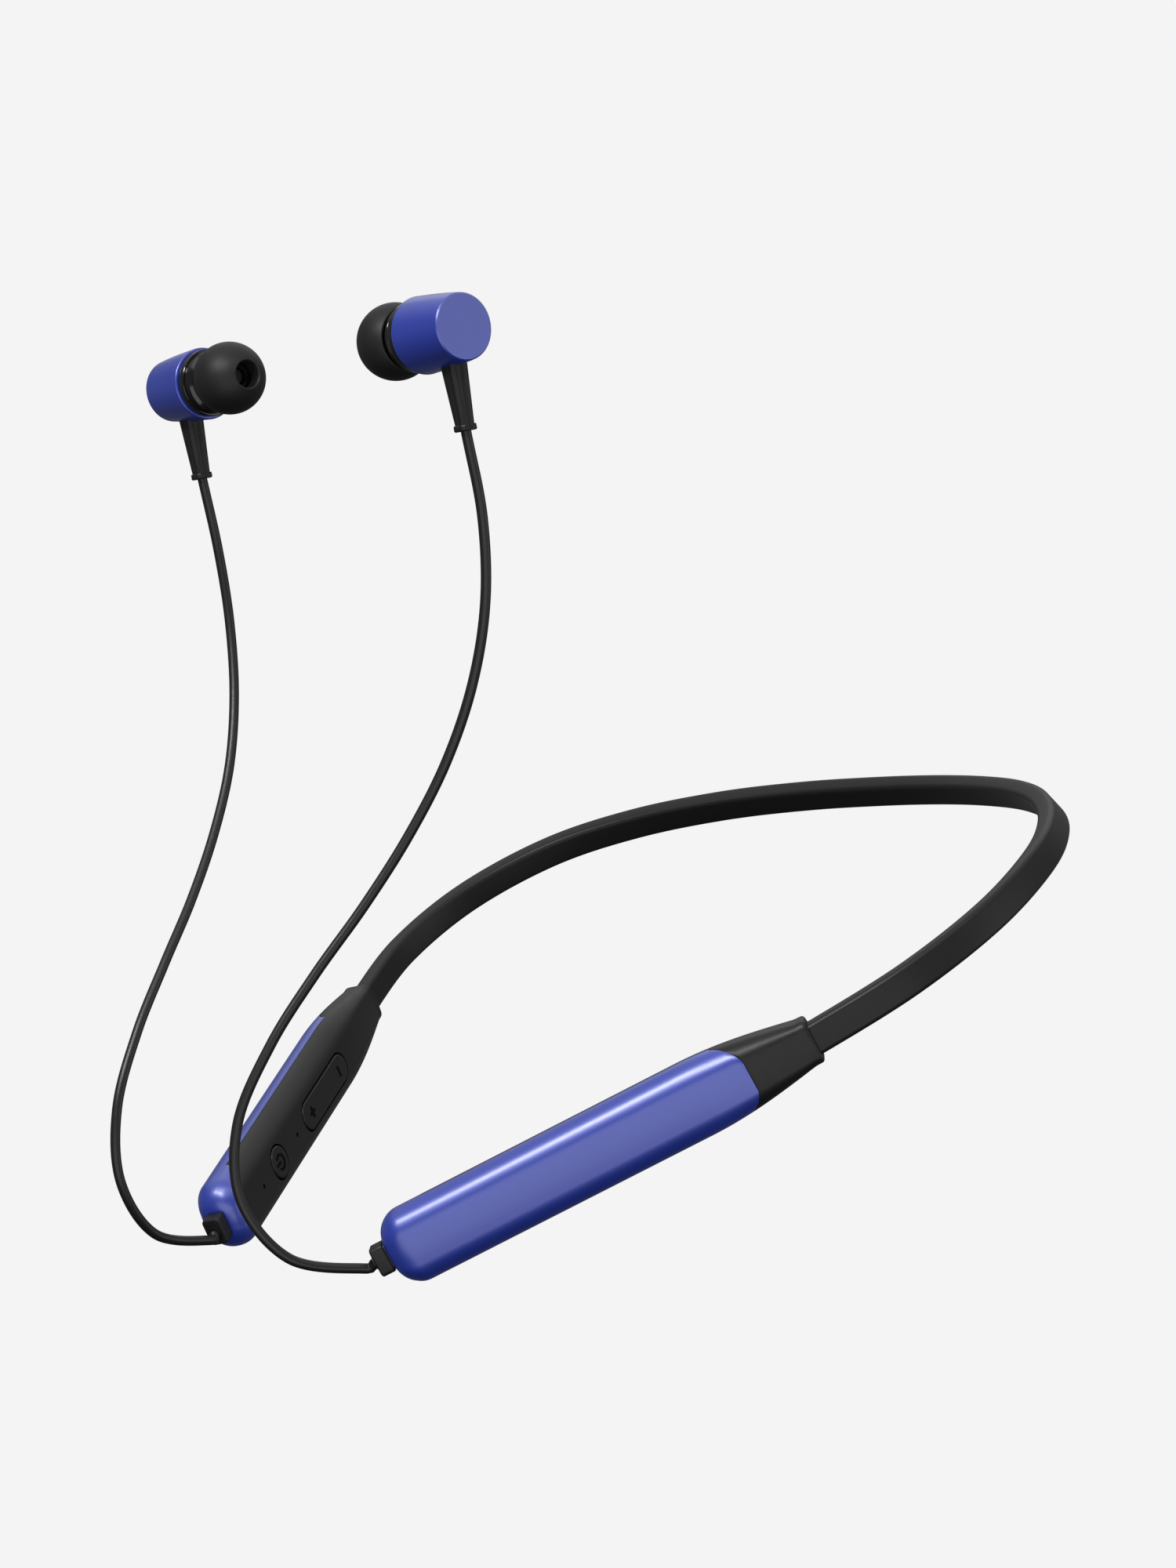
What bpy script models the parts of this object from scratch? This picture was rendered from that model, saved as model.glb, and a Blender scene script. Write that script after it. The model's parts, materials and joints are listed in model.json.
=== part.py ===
"""Neckband earphones: a sprung silicone neckband, two pods, two cords and two in-ear earbuds.

All lengths below are millimetres and all angles are degrees; objects are made in metres, +Z up.
The origin is the middle of the neckband's back. +X is the wearer's left, -Y the wearer's front.
The set is held as it is worn: the neckband tips forward over the shoulders and the buds are at the ears.
"""

import math

import bmesh
import bpy
import numpy as np
from mathutils import Matrix, Vector

METRE = 0.001
GAP = 0.3

# Neckband
NECK_HALF_WIDTH = 80.5
NECK_DEPTH = 78.4
NECK_RISE = 32.6
WEAR_PITCH = 49.4
BAND_HEIGHT = 5.2
BAND_THICK = 3.3
BAND_ROUND = 0.9
CHANNEL_HEIGHT = 3.1
CHANNEL_THICK = 1.5
WIRE_DIAMETER = 0.9
CABLE_WIDTH = 1.0
CABLE_THICK = 0.6
CORE_OFFSET = 0.75
# Shares of half width, depth and rise from the back's middle to where the band enters a pod
NECK_ROUTE = (
    (0.0, 0.0, 0.0),
    (0.209, -0.017, 0.034),
    (0.412, -0.064, 0.126),
    (0.606, -0.142, 0.261),
    (0.785, -0.254, 0.420),
    (0.922, -0.399, 0.582),
    (0.998, -0.597, 0.747),
    (0.982, -0.809, 0.891),
    (0.888, -1.0, 1.0),
)
FLEX_POINT = 4  # the route point about which each arm bends
FLEX_GAP = 0.7

# Pods
POD_LENGTH = 74.4
POD_HEIGHT = 12.4
POD_THICK = 8.6
POD_ROUND = 3.9
POD_TOE_IN = 35.8
POD_CLIMB = 12.6
POD_ROLL = 17.0
POD_WALL = 1.2
LIP_HEIGHT = 7.4
LIP_THICK = 5.6
LIP_ROUND = 1.9
TAPER_LENGTH = 21.0
LIP_EDGE = 0.5
TIP_ROUND = 4.2
TIP_FLATTEN = 0.7  # how far the tip's rounding draws in its faces, as a share of its edges
TIP_FLAT = 0.02  # the least half width of a face between two rounded edges
COLLAR_LENGTH = 11.0
TIP_CAP_LENGTH = 7.0
PARTING = -0.3
SOCKET_DEPTH = 9.5
CAVITY_START = 14.0

# Cord outlet, cords
OUTLET_HEIGHT = 4.9
OUTLET_THICK = 3.4
OUTLET_LENGTH = 2.2
OUTLET_NECK = 2.4
CORD_DIAMETER = 1.65
# A cord's way from its outlet to its earbud, as steps from the outlet; the right cord mirrors it
CORD_ROUTE = (
    (-4.1, -13.0, 0.8),
    (-6.3, -20.3, 9.9),
    (-6.3, -20.9, 21.8),
    (-4.2, -16.3, 33.9),
    (-1.4, -10.0, 44.8),
    (2.0, -3.3, 55.3),
    (5.5, 2.6, 66.1),
    (9.0, 7.3, 77.5),
    (12.5, 10.0, 89.6),
    (15.4, 10.6, 102.2),
    (16.9, 9.2, 114.8),
    (17.0, 6.2, 127.4),
)
CORD_POINTS = 56
EAR_OFFSET = 0.9  # the left bud sits this much higher than the mirrored place, the right one lower

# Controls on the right pod
BUTTON_AT = 56.0
BUTTON_DIAMETER = 5.6
ROCKER_AT = 32.8
ROCKER_LENGTH = 21.0
ROCKER_WIDTH = 5.0
PINHOLES_AT = (63.8, 47.2)
PINHOLE_DIAMETER = 0.9
CAP_THICK = 1.4
CAP_PROUD = 0.15
CAP_EDGE = 0.2
FLANGE_RIM = 0.7
FLANGE_THICK = 0.5
BOARD_THICK = 0.8
BOARD_HEIGHT = 8.0
BOARD_ENDS = (19.0, 66.0)
SWITCH_SIDE = 2.6
SWITCH_HEIGHT = 1.5
SWITCH_INSET = 3.4  # from each end of the rocker to its switch
LIGHT_PIPE_DIAMETER = 1.4
MICROPHONE_SIZE = (1.9, 2.8, 1.05)
MODULE_AT = 26.0
MODULE_SIZE = (9.0, 6.8, 1.6)
PORT_AT = 60.0
PORT_WIDTH = 9.0
PORT_THICK = 3.2
PORT_DEPTH = 3.5
PORT_ROUND = 1.2
PORT_WALL = 0.3
PORT_INSET = 1.45  # from the pod's underside to the port's mouth, clear of the rounded edge
TONGUE_WIDTH = 6.6
TONGUE_THICK = 0.7
TONGUE_INSET = 0.6
CELL_LENGTH = 42.0
CELL_THICK = 4.2
CELL_HEIGHT = 8.6
CELL_OFFSET = 0.15  # outwards from the pod's middle

# Earbuds: distances along the bud's axis, outwards from the middle of its body
BUD_LENGTH = 10.8
BUD_FACE_RADIUS = 5.25
BUD_RIM_RADIUS = 6.1
BUD_WALL = 0.8
BUD_TURN = 6.0
BUD_TILT = 2.75
BEZEL_RADIUS = 5.7
BEZEL_LENGTH = 1.8
BEZEL_GROOVE = 0.35
MESH_DEPTH = 0.7
MESH_THICK = 0.3
BUD_MAGNET = (3.4, 1.4)  # radius, thickness
DRIVER_MAGNET = (2.4, 1.1)
FILM_THICK = 0.25
BASKET_DEPTH = 2.2
BASKET_WALL = 0.5
NOZZLE_RADIUS = 2.4
NOZZLE_BORE = 1.5
NOZZLE_LENGTH = 6.0
TIP_RADIUS = 6.1
TIP_CENTRE = 7.2
TIP_BORE = 2.1
TIP_WALL = 0.8
TIP_SPAN = (62, 160)  # where the dome starts and stops, in degrees from the bud's axis
STEM_LEAN = 10.8
STEM_LENGTH = 9.1
STEM_TOP = 3.5
STEM_END = 2.8
STEM_OFFSET = 1.1
STEM_NECK = 3.0
STEM_ROOT = -3.4

SIDES = {"left": 1, "right": -1}


# ---------------------------------------------------------------- scene and materials


def clear_scene():
    for obj in list(bpy.data.objects):
        bpy.data.objects.remove(obj, do_unlink=True)


def material(name, colour, roughness, metallic=0.0):
    made = bpy.data.materials.new(name)
    made.use_nodes = True
    shader = made.node_tree.nodes["Principled BSDF"]
    shader.inputs["Base Color"].default_value = (*colour, 1.0)
    shader.inputs["Roughness"].default_value = roughness
    shader.inputs["Metallic"].default_value = metallic
    return made


def make_materials():
    return {
        "silicone": material("silicone", (0.022, 0.022, 0.023), 0.55),
        "blue_metal": material("blue_metal", (0.06, 0.085, 0.36), 0.32, 0.75),
        "black_plastic": material("black_plastic", (0.028, 0.028, 0.03), 0.45),
        "gloss_black": material("gloss_black", (0.012, 0.012, 0.013), 0.12),
        "cord_jacket": material("cord_jacket", (0.018, 0.018, 0.019), 0.4),
        "steel": material("steel", (0.55, 0.56, 0.58), 0.3, 1.0),
        "board_green": material("board_green", (0.03, 0.16, 0.07), 0.5),
        "foil": material("foil", (0.62, 0.63, 0.65), 0.35, 0.9),
        "magnet": material("magnet", (0.4, 0.4, 0.42), 0.25, 1.0),
        "film": material("film", (0.75, 0.7, 0.5), 0.3),
        "lens": material("lens", (0.8, 0.85, 0.9), 0.1),
        "copper": material("copper", (0.7, 0.32, 0.15), 0.35, 1.0),
    }


def empty(name, matrix, parent=None):
    made = bpy.data.objects.new(name, None)
    made.empty_display_size = 5 * METRE
    bpy.context.scene.collection.objects.link(made)
    attach(made, matrix, parent)
    return made


def attach(obj, matrix, parent=None):
    """Places an object in world space, under its parent when it has one."""
    obj.matrix_basis = matrix
    if parent is not None:
        obj.parent = parent
        obj.matrix_parent_inverse = parent.matrix_basis.inverted()


def solid(name, shape, finish, matrix, parent=None):
    """An object from (points, faces) in millimetres, shaded smooth with its corners kept sharp."""
    points, faces = shape
    mesh = bpy.data.meshes.new(name)
    mesh.from_pydata([Vector(p) * METRE for p in points], [], faces)
    work = bmesh.new()
    work.from_mesh(mesh)
    bmesh.ops.recalc_face_normals(work, faces=work.faces)
    work.to_mesh(mesh)
    work.free()
    mesh.shade_smooth()
    mesh.set_sharp_from_angle(angle=math.radians(40))
    obj = bpy.data.objects.new(name, mesh)
    bpy.context.scene.collection.objects.link(obj)
    attach(obj, matrix, parent)
    if finish is not None:
        mesh.materials.append(finish)
    return obj


def cutter(name, shape, matrix, parent=None):
    made = solid(name, shape, None, matrix, parent)
    made.hide_render = True
    made.display_type = "WIRE"
    return made


def cut(obj, other):
    change = obj.modifiers.new(other.name, "BOOLEAN")
    change.operation = "DIFFERENCE"
    change.solver = "EXACT"
    change.object = other


# ---------------------------------------------------------------- shapes


def rounded_rect(half_y, half_z, radius, per_corner=5):
    """Points (y, z) round a rectangle with arcs for corners."""
    radius = min(radius, half_y, half_z)
    loop = []
    for corner in range(4):
        middle_y = (half_y - radius) * (1 if corner in (0, 3) else -1)
        middle_z = (half_z - radius) * (1 if corner in (0, 1) else -1)
        for step in range(per_corner):
            turn = math.pi / 2 * (corner + step / (per_corner - 1))
            loop.append((middle_y + radius * math.cos(turn), middle_z + radius * math.sin(turn)))
    return [p for i, p in enumerate(loop) if math.dist(p, loop[i - 1]) > 1e-4]


def circle(radius, sides=12):
    turns = [2 * math.pi * i / sides for i in range(sides)]
    return [(radius * math.cos(t), radius * math.sin(t)) for t in turns]


def side_faces(first, second, count, flip=False):
    faces = []
    for i in range(count):
        j = (i + 1) % count
        quad = (first + i, first + j, second + j, second + i)
        faces.append(quad[::-1] if flip else quad)
    return faces


def loft(rings):
    """A closed solid through rings of equal length."""
    count = len(rings[0])
    points = [p for ring in rings for p in ring]
    faces = [tuple(range(count))[::-1]]
    for i in range(len(rings) - 1):
        faces += side_faces(i * count, (i + 1) * count, count)
    faces.append(tuple(range((len(rings) - 1) * count, len(rings) * count)))
    return points, faces


def pipe(outer, inner):
    """A solid between outer rings and inner rings, open at both ends."""
    count = len(outer[0])
    rings = outer + inner
    points = [p for ring in rings for p in ring]
    last = len(outer) - 1
    shift = len(outer) * count
    faces = []
    for i in range(last):
        faces += side_faces(i * count, (i + 1) * count, count)
        faces += side_faces(shift + i * count, shift + (i + 1) * count, count, flip=True)
    faces += side_faces(0, shift, count, flip=True)
    faces += side_faces(last * count, shift + last * count, count)
    return points, faces


def lathe(profile, sides=24, closed=False):
    """Turns (x, radius) points about X. A radius of 0 is a pole; closed joins the last to the first."""
    points, starts = [], []
    for x, radius in profile:
        starts.append((len(points), radius > 0))
        if radius > 0:
            points += [(x, y, z) for y, z in circle(radius, sides)]
        else:
            points.append((x, 0.0, 0.0))
    faces = []
    for i in range(len(profile) - (0 if closed else 1)):
        (a, ring_a), (b, ring_b) = starts[i], starts[(i + 1) % len(profile)]
        if not (ring_a or ring_b):
            continue
        for j in range(sides):
            k = (j + 1) % sides
            corners = [a + j if ring_a else a, a + k if ring_a else a]
            corners += [b + k if ring_b else b, b + j if ring_b else b]
            faces.append(tuple(dict.fromkeys(corners)))
    return points, faces


def block(low, high):
    (x0, y0, z0), (x1, y1, z1) = low, high
    ring = [(y0, z0), (y1, z0), (y1, z1), (y0, z1)]
    return loft([[(x, y, z) for y, z in ring] for x in (x0, x1)])


def bar(ends, section):
    """A straight bar along X with one section."""
    return loft([[(x, y, z) for y, z in section] for x in ends])


def tablet(ends, section, along="y"):
    """A straight bar along Y (or Z) whose section is given in X and the remaining axis."""
    if along == "y":
        return loft([[(a, y, b) for a, b in section] for y in ends])
    return loft([[(a, b, z) for a, b in section] for z in ends])


# ---------------------------------------------------------------- frames and routes


def smooth_path(route):
    """A Catmull-Rom curve through the route: its close-set points, and how far along it each one is."""
    route = np.array(route, float)
    padded = np.vstack([2 * route[0] - route[1], route, 2 * route[-1] - route[-2]])
    dense = []
    for i in range(1, len(padded) - 2):
        a, b, c, d = padded[i - 1 : i + 3]
        for t in np.linspace(0, 1, 24, endpoint=False):
            bend = (2 * a - 5 * b + 4 * c - d) * t**2 + (3 * b - a - 3 * c + d) * t**3
            dense.append(0.5 * (2 * b + (c - a) * t + bend))
    dense = np.array(dense + [route[-1]])
    travelled = np.concatenate([[0], np.cumsum(np.linalg.norm(np.diff(dense, axis=0), axis=1))])
    return dense, travelled


def points_at(path, distances):
    """Points on a smooth path at distances from its start."""
    dense, travelled = path
    return np.stack([np.interp(distances, travelled, dense[:, k]) for k in range(3)], axis=1)


def pod_direction():
    toe, climb = math.radians(POD_TOE_IN), math.radians(POD_CLIMB)
    return Vector((-math.sin(toe) * math.cos(climb), -math.cos(toe) * math.cos(climb), math.sin(climb)))


def upright(direction, roll):
    """The band's height axis square to a direction, leaned towards the neck by roll degrees."""
    up = Vector((0, 0, 1))
    up = (up - up.dot(direction) * direction).normalized()
    return Matrix.Rotation(math.radians(roll), 3, direction) @ up


def mirrored(vector, side):
    return Vector((vector[0] * side, vector[1], vector[2]))


def frame(origin, x_axis, z_axis):
    """A placing matrix in metres from an origin in millimetres and two square axes."""
    x_axis, z_axis = Vector(x_axis).normalized(), Vector(z_axis).normalized()
    y_axis = z_axis.cross(x_axis)
    made = Matrix((x_axis, y_axis, z_axis)).transposed().to_4x4()
    made.translation = Vector(origin) * METRE
    return made


def neck_points():
    return [Vector((x * NECK_HALF_WIDTH, y * NECK_DEPTH, z * NECK_RISE)) for x, y, z in NECK_ROUTE]


WEAR = Matrix.Rotation(math.radians(WEAR_PITCH), 4, "X")


def pod_frame(side):
    """Pod axes: X runs to the pod's tip, Y points to the wearer's left, Z is the pod's height."""
    direction = pod_direction()
    up = upright(direction, POD_ROLL)
    return WEAR @ frame(mirrored(neck_points()[-1], side), mirrored(direction, side), mirrored(up, side))


# ---------------------------------------------------------------- neckband


def band_stations():
    """Centre, side axis and height axis at even steps along the left half, and where each arm bends."""
    direction = pod_direction()
    route = neck_points()
    route.append(route[-1] + direction * (SOCKET_DEPTH - GAP))
    path = smooth_path([mirrored(p, -1) for p in route[:0:-1]] + route)
    dense, travelled = path
    length = travelled[-1]
    middle = length / 2
    flex = travelled[int(np.argmin(np.linalg.norm(dense - np.array(route[FLEX_POINT]), axis=1)))]
    lip = length - (SOCKET_DEPTH - GAP)

    def at(distance):
        ahead = points_at(path, [distance - 0.5, distance, min(distance + 0.5, length)])
        tangent = Vector(ahead[2] - ahead[0]).normalized()
        share = min(max((distance - flex) / (lip - flex), 0.0), 1.0)
        up = upright(tangent, POD_ROLL * share**2)
        return Vector(ahead[1]), up.cross(tangent), up

    return at, middle, flex, length


def swept(at, distances, section):
    """Rings of a section, (side, height) points, carried along the band."""
    rings = []
    for distance in distances:
        centre, side_axis, up = at(distance)
        rings.append([centre + side_axis * y + up * z for y, z in section])
    return rings


def shifted(section, y, z):
    return [(a + y, b + z) for a, b in section]


def mirror_rings(rings):
    return [[mirrored(p, -1) for p in ring] for ring in rings]


def make_neckband(finishes, arms):
    at, middle, flex, length = band_stations()
    outer = rounded_rect(BAND_THICK / 2, BAND_HEIGHT / 2, BAND_ROUND, 4)
    channel = rounded_rect(CHANNEL_THICK / 2, CHANNEL_HEIGHT / 2, CHANNEL_THICK / 4, 4)
    wire = shifted(circle(WIRE_DIAMETER / 2, 8), 0, CORE_OFFSET)
    cable = shifted(rounded_rect(CABLE_THICK / 2, CABLE_WIDTH / 2, 0.1, 2), 0, -CORE_OFFSET)
    back = np.linspace(middle, flex - FLEX_GAP / 2, 12)
    arm = np.linspace(flex + FLEX_GAP / 2, length, 18)
    for name, section, finish in (
        ("neckband", outer, "silicone"),
        ("memory_wire", wire, "steel"),
        ("link_cable", cable, "copper"),
    ):
        half = swept(at, back, section)
        whole = mirror_rings(half)[:0:-1] + half
        arm_rings = swept(at, arm, section)
        if name == "neckband":
            hollow = swept(at, back, channel)
            shape = pipe(whole, mirror_rings(hollow)[:0:-1] + hollow)
            arm_hollow = swept(at, arm, channel)
            arm_shapes = [
                pipe(arm_rings, arm_hollow),
                pipe(mirror_rings(arm_rings), mirror_rings(arm_hollow)),
            ]
        else:
            shape = loft(whole)
            arm_shapes = [loft(arm_rings), loft(mirror_rings(arm_rings))]
        solid(name + "_back", shape, finishes[finish], WEAR)
        for (side_name, _), arm_shape in zip(SIDES.items(), arm_shapes):
            pivot = arms[side_name]
            local = [WEAR @ (Vector(p) * METRE) for p in arm_shape[0]]
            local = [(pivot.matrix_basis.inverted() @ p) / METRE for p in local]
            solid(f"{name}_{side_name}", (local, arm_shape[1]), finishes[finish], pivot.matrix_basis, pivot)


# ---------------------------------------------------------------- pods


def pod_size(x):
    """Half thickness, half height and corner radius of a pod at a distance from its collar's mouth."""
    grown = math.sin(math.pi / 2 * min(max(x / TAPER_LENGTH, 0.0), 1.0))
    half_y = (LIP_THICK + (POD_THICK - LIP_THICK) * grown) / 2
    half_z = (LIP_HEIGHT + (POD_HEIGHT - LIP_HEIGHT) * grown) / 2
    radius = LIP_ROUND + (POD_ROUND - LIP_ROUND) * grown
    from_tip = POD_LENGTH - x
    if from_tip < TIP_ROUND:
        inset = TIP_ROUND - math.sqrt(max(TIP_ROUND**2 - (TIP_ROUND - from_tip) ** 2, 0.0))
        half_y -= TIP_FLATTEN * inset
        half_z -= inset
        radius = min(radius, half_y - TIP_FLAT, half_z - TIP_FLAT)
    return half_y, half_z, radius


def pod_body():
    mouth = [(0.0, LIP_EDGE), (LIP_EDGE * 0.4, LIP_EDGE * 0.3), (LIP_EDGE * 1.4, 0.0)]
    taper = [(TAPER_LENGTH * share / 5, 0.0) for share in range(1, 6)]
    turns = [math.radians(turn) for turn in (0, 18, 36, 54, 72, 90)]
    tip = [(POD_LENGTH - TIP_ROUND * (1 - math.sin(turn)), 0.0) for turn in turns]
    rings = []
    for x, inset in mouth + taper + tip:
        half_y, half_z, radius = pod_size(x)
        section = rounded_rect(half_y - inset, half_z - inset, radius - inset, 6)
        rings.append([(x, y, z) for y, z in section])
    return loft(rings)


def pod_cavity():
    rings = []
    for x in (CAVITY_START, 18.0, TAPER_LENGTH, POD_LENGTH - TIP_ROUND - 1.0):
        half_y, half_z, radius = pod_size(x)
        section = rounded_rect(half_y - POD_WALL, half_z - POD_WALL, radius - POD_WALL, 4)
        rings.append([(x, y, z) for y, z in section])
    return loft(rings)


def outward(low_high, side):
    """A (low, high) range of outward distances as a range of the pod's Y."""
    a, b = low_high[0] * side, low_high[1] * side
    return min(a, b), max(a, b)


def make_pod_shells(side_name, finishes, arm):
    side = SIDES[side_name]
    place = pod_frame(side)
    reach = POD_HEIGHT
    cap_start = POD_LENGTH - TIP_CAP_LENGTH
    hollow = cutter(f"cut_{side_name}_cavity", pod_cavity(), place, arm)

    shell = solid(f"{side_name}_outer_shell", pod_body(), finishes["blue_metal"], place, arm)
    inner = outward((-reach, PARTING + GAP / 2), side)
    cut(shell, hollow)
    for name, low, high in (
        ("inner_half", (-5, inner[0], -reach), (cap_start + GAP / 2, inner[1], reach)),
        ("collar", (-6, -reach, -reach), (COLLAR_LENGTH + GAP / 2, reach, reach)),
    ):
        cut(shell, cutter(f"cut_{side_name}_shell_{name}", block(low, high), place, arm))
    outlet = bar((cap_start, POD_LENGTH + 2), circle(OUTLET_NECK / 2 + GAP, 12))
    cut(shell, cutter(f"cut_{side_name}_outlet", outlet, place, arm))

    cover = solid(f"{side_name}_inner_cover", pod_body(), finishes["black_plastic"], place, arm)
    outer = outward((PARTING - GAP / 2, reach), side)
    cut(cover, hollow)
    for name, low, high in (
        ("outer_half", (COLLAR_LENGTH - GAP / 2, outer[0], -reach), (POD_LENGTH + 5, outer[1], reach)),
        ("tip", (cap_start - GAP / 2, -reach, -reach), (POD_LENGTH + 6, reach, reach)),
    ):
        cut(cover, cutter(f"cut_{side_name}_cover_{name}", block(low, high), place, arm))
    socket = rounded_rect(BAND_THICK / 2 + GAP, BAND_HEIGHT / 2 + GAP, BAND_ROUND + GAP, 4)
    cut(cover, cutter(f"cut_{side_name}_socket", bar((-2, SOCKET_DEPTH), socket), place, arm))
    lead = rounded_rect(CHANNEL_THICK / 2, CHANNEL_HEIGHT / 2, 0.3, 3)
    cut(cover, cutter(f"cut_{side_name}_lead_way", bar((-1, CAVITY_START + 3), lead), place, arm))
    return shell, cover


def make_outlet(side_name, finishes, arm):
    """The cord's strain relief: a block outside the tip, a neck through it and a flange inside."""
    place = pod_frame(SIDES[side_name])
    inside = POD_LENGTH - TIP_ROUND - 1.0
    flange = OUTLET_NECK / 2 + 0.8
    base = POD_LENGTH + GAP
    edge = 0.4
    rings = []
    for x, section in (
        (inside - GAP - 1.0, rounded_rect(flange, flange, flange, 6)),
        (inside - GAP, rounded_rect(flange, flange, flange, 6)),
        (inside - GAP + 0.01, rounded_rect(OUTLET_NECK / 2, OUTLET_NECK / 2, OUTLET_NECK / 2, 6)),
        (base, rounded_rect(OUTLET_NECK / 2, OUTLET_NECK / 2, OUTLET_NECK / 2, 6)),
        (base + 0.01, rounded_rect(OUTLET_THICK / 2, OUTLET_HEIGHT / 2, 1.0, 6)),
        (base + OUTLET_LENGTH - edge, rounded_rect(OUTLET_THICK / 2, OUTLET_HEIGHT / 2, 1.0, 6)),
        (base + OUTLET_LENGTH, rounded_rect(OUTLET_THICK / 2 - edge, OUTLET_HEIGHT / 2 - edge, 0.7, 6)),
    ):
        count = 20
        turns = np.linspace(0, len(section), count, endpoint=False).astype(int)
        rings.append([(x, *section[t]) for t in turns])
    solid(f"{side_name}_cord_outlet", loft(rings), finishes["black_plastic"], place, arm)
    return place @ Vector(((base + OUTLET_LENGTH) * METRE, 0, 0))


# ---------------------------------------------------------------- controls and electronics


def pill(half_length, half_width, per_corner=6):
    return rounded_rect(half_length, half_width, half_width, per_corner)


def right_range(low, high):
    """A range of distances inwards, towards the neck, as a range of the right pod's Y."""
    return outward((-high, -low), SIDES["right"])


def moved(outline, along):
    return [(a + along, b) for a, b in outline]


# Distances from the right pod's middle towards the neck
INNER_FACE = POD_THICK / 2
INNER_WALL = INNER_FACE - POD_WALL
BOARD_TOP = INNER_WALL - GAP - FLANGE_THICK - SWITCH_HEIGHT
BOARD_UNDER = BOARD_TOP - BOARD_THICK


def make_cap(name, x, length, width, finishes, cover, arm):
    """A button cap with a flange that is trapped under the cover, and the cover's hole and seat for it."""
    side = SIDES["right"]
    place = pod_frame(side)
    at_x = place @ Matrix.Translation((x * METRE, 0, 0))

    def outline(grow):
        return pill(length / 2 + grow, width / 2 + grow)

    hole = tablet(right_range(INNER_WALL - 1, INNER_FACE + 2), outline(GAP))
    cut(cover, cutter(f"cut_{name}_hole", hole, at_x, arm))
    seat = tablet(right_range(INNER_WALL - 2, INNER_WALL), outline(FLANGE_RIM + GAP))
    cut(cover, cutter(f"cut_{name}_seat", seat, at_x, arm))
    middle = INNER_FACE - CAP_THICK / 2
    top = INNER_FACE + CAP_PROUD - middle
    under = INNER_WALL - GAP - middle
    levels = (
        (under - FLANGE_THICK, outline(FLANGE_RIM)),
        (under, outline(FLANGE_RIM)),
        (under + 0.01, outline(0.0)),
        (top - CAP_EDGE, outline(0.0)),
        (top, outline(-CAP_EDGE)),
    )
    rings = [[(a, -level * side, b) for a, b in section] for level, section in levels]
    on_axis = place @ Matrix.Translation(Vector((x, -middle * side, 0)) * METRE)
    solid(name, loft(rings), finishes["black_plastic"], on_axis, arm)


def make_controls(finishes, cover, arm):
    """The right pod's button, volume rocker and pinholes."""
    across = BUTTON_DIAMETER
    make_cap("multifunction_button", BUTTON_AT, across, across, finishes, cover, arm)
    make_cap("volume_rocker", ROCKER_AT, ROCKER_LENGTH, ROCKER_WIDTH, finishes, cover, arm)
    place = pod_frame(SIDES["right"])
    for number, x in enumerate(PINHOLES_AT):
        hole = tablet(right_range(INNER_WALL - 1, INNER_FACE + 1), moved(circle(PINHOLE_DIAMETER / 2, 10), x))
        cut(cover, cutter(f"cut_pinhole_{number}", hole, place, arm))


def make_board(finishes, arm):
    """The main board and what stands on it: three switches, a light pipe, a microphone and a radio module."""
    side = SIDES["right"]
    place = pod_frame(side)
    start, end = BOARD_ENDS
    outline = moved(rounded_rect((end - start) / 2, BOARD_HEIGHT / 2, 1.0, 3), (start + end) / 2)
    board = tablet(right_range(BOARD_UNDER, BOARD_TOP), outline)
    solid("main_board", board, finishes["board_green"], place, arm)

    base = BOARD_TOP + GAP / 2
    body_top = BOARD_TOP + SWITCH_HEIGHT - GAP
    rock = ROCKER_LENGTH / 2 - SWITCH_INSET
    for name, x in (
        ("play_switch", BUTTON_AT),
        ("volume_up_switch", ROCKER_AT + rock),
        ("volume_down_switch", ROCKER_AT - rock),
    ):
        half = SWITCH_SIDE / 2
        rings = []
        for level, size in (
            (base, half),
            (body_top - 0.5, half),
            (body_top - 0.49, half * 0.6),
            (body_top, half * 0.5),
        ):
            rings.append([(x + a, -level * side, b) for a, b in rounded_rect(size, size, size * 0.5, 4)])
        solid(name, loft(rings), finishes["steel"], place, arm)

    guide = moved(circle(LIGHT_PIPE_DIAMETER / 2, 10), PINHOLES_AT[0])
    light = tablet(right_range(base, INNER_WALL - GAP), guide)
    solid("status_light_pipe", light, finishes["lens"], place, arm)
    length, width, height = MICROPHONE_SIZE
    can = moved(rounded_rect(length / 2, width / 2, 0.2, 2), PINHOLES_AT[1])
    solid("microphone", tablet(right_range(base, base + height), can), finishes["foil"], place, arm)

    under = BOARD_UNDER - GAP / 2
    length, width, height = MODULE_SIZE
    chip = moved(rounded_rect(length / 2, width / 2, 0.5, 2), MODULE_AT)
    solid("bluetooth_module", tablet(right_range(under - height, under), chip), finishes["foil"], place, arm)


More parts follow.
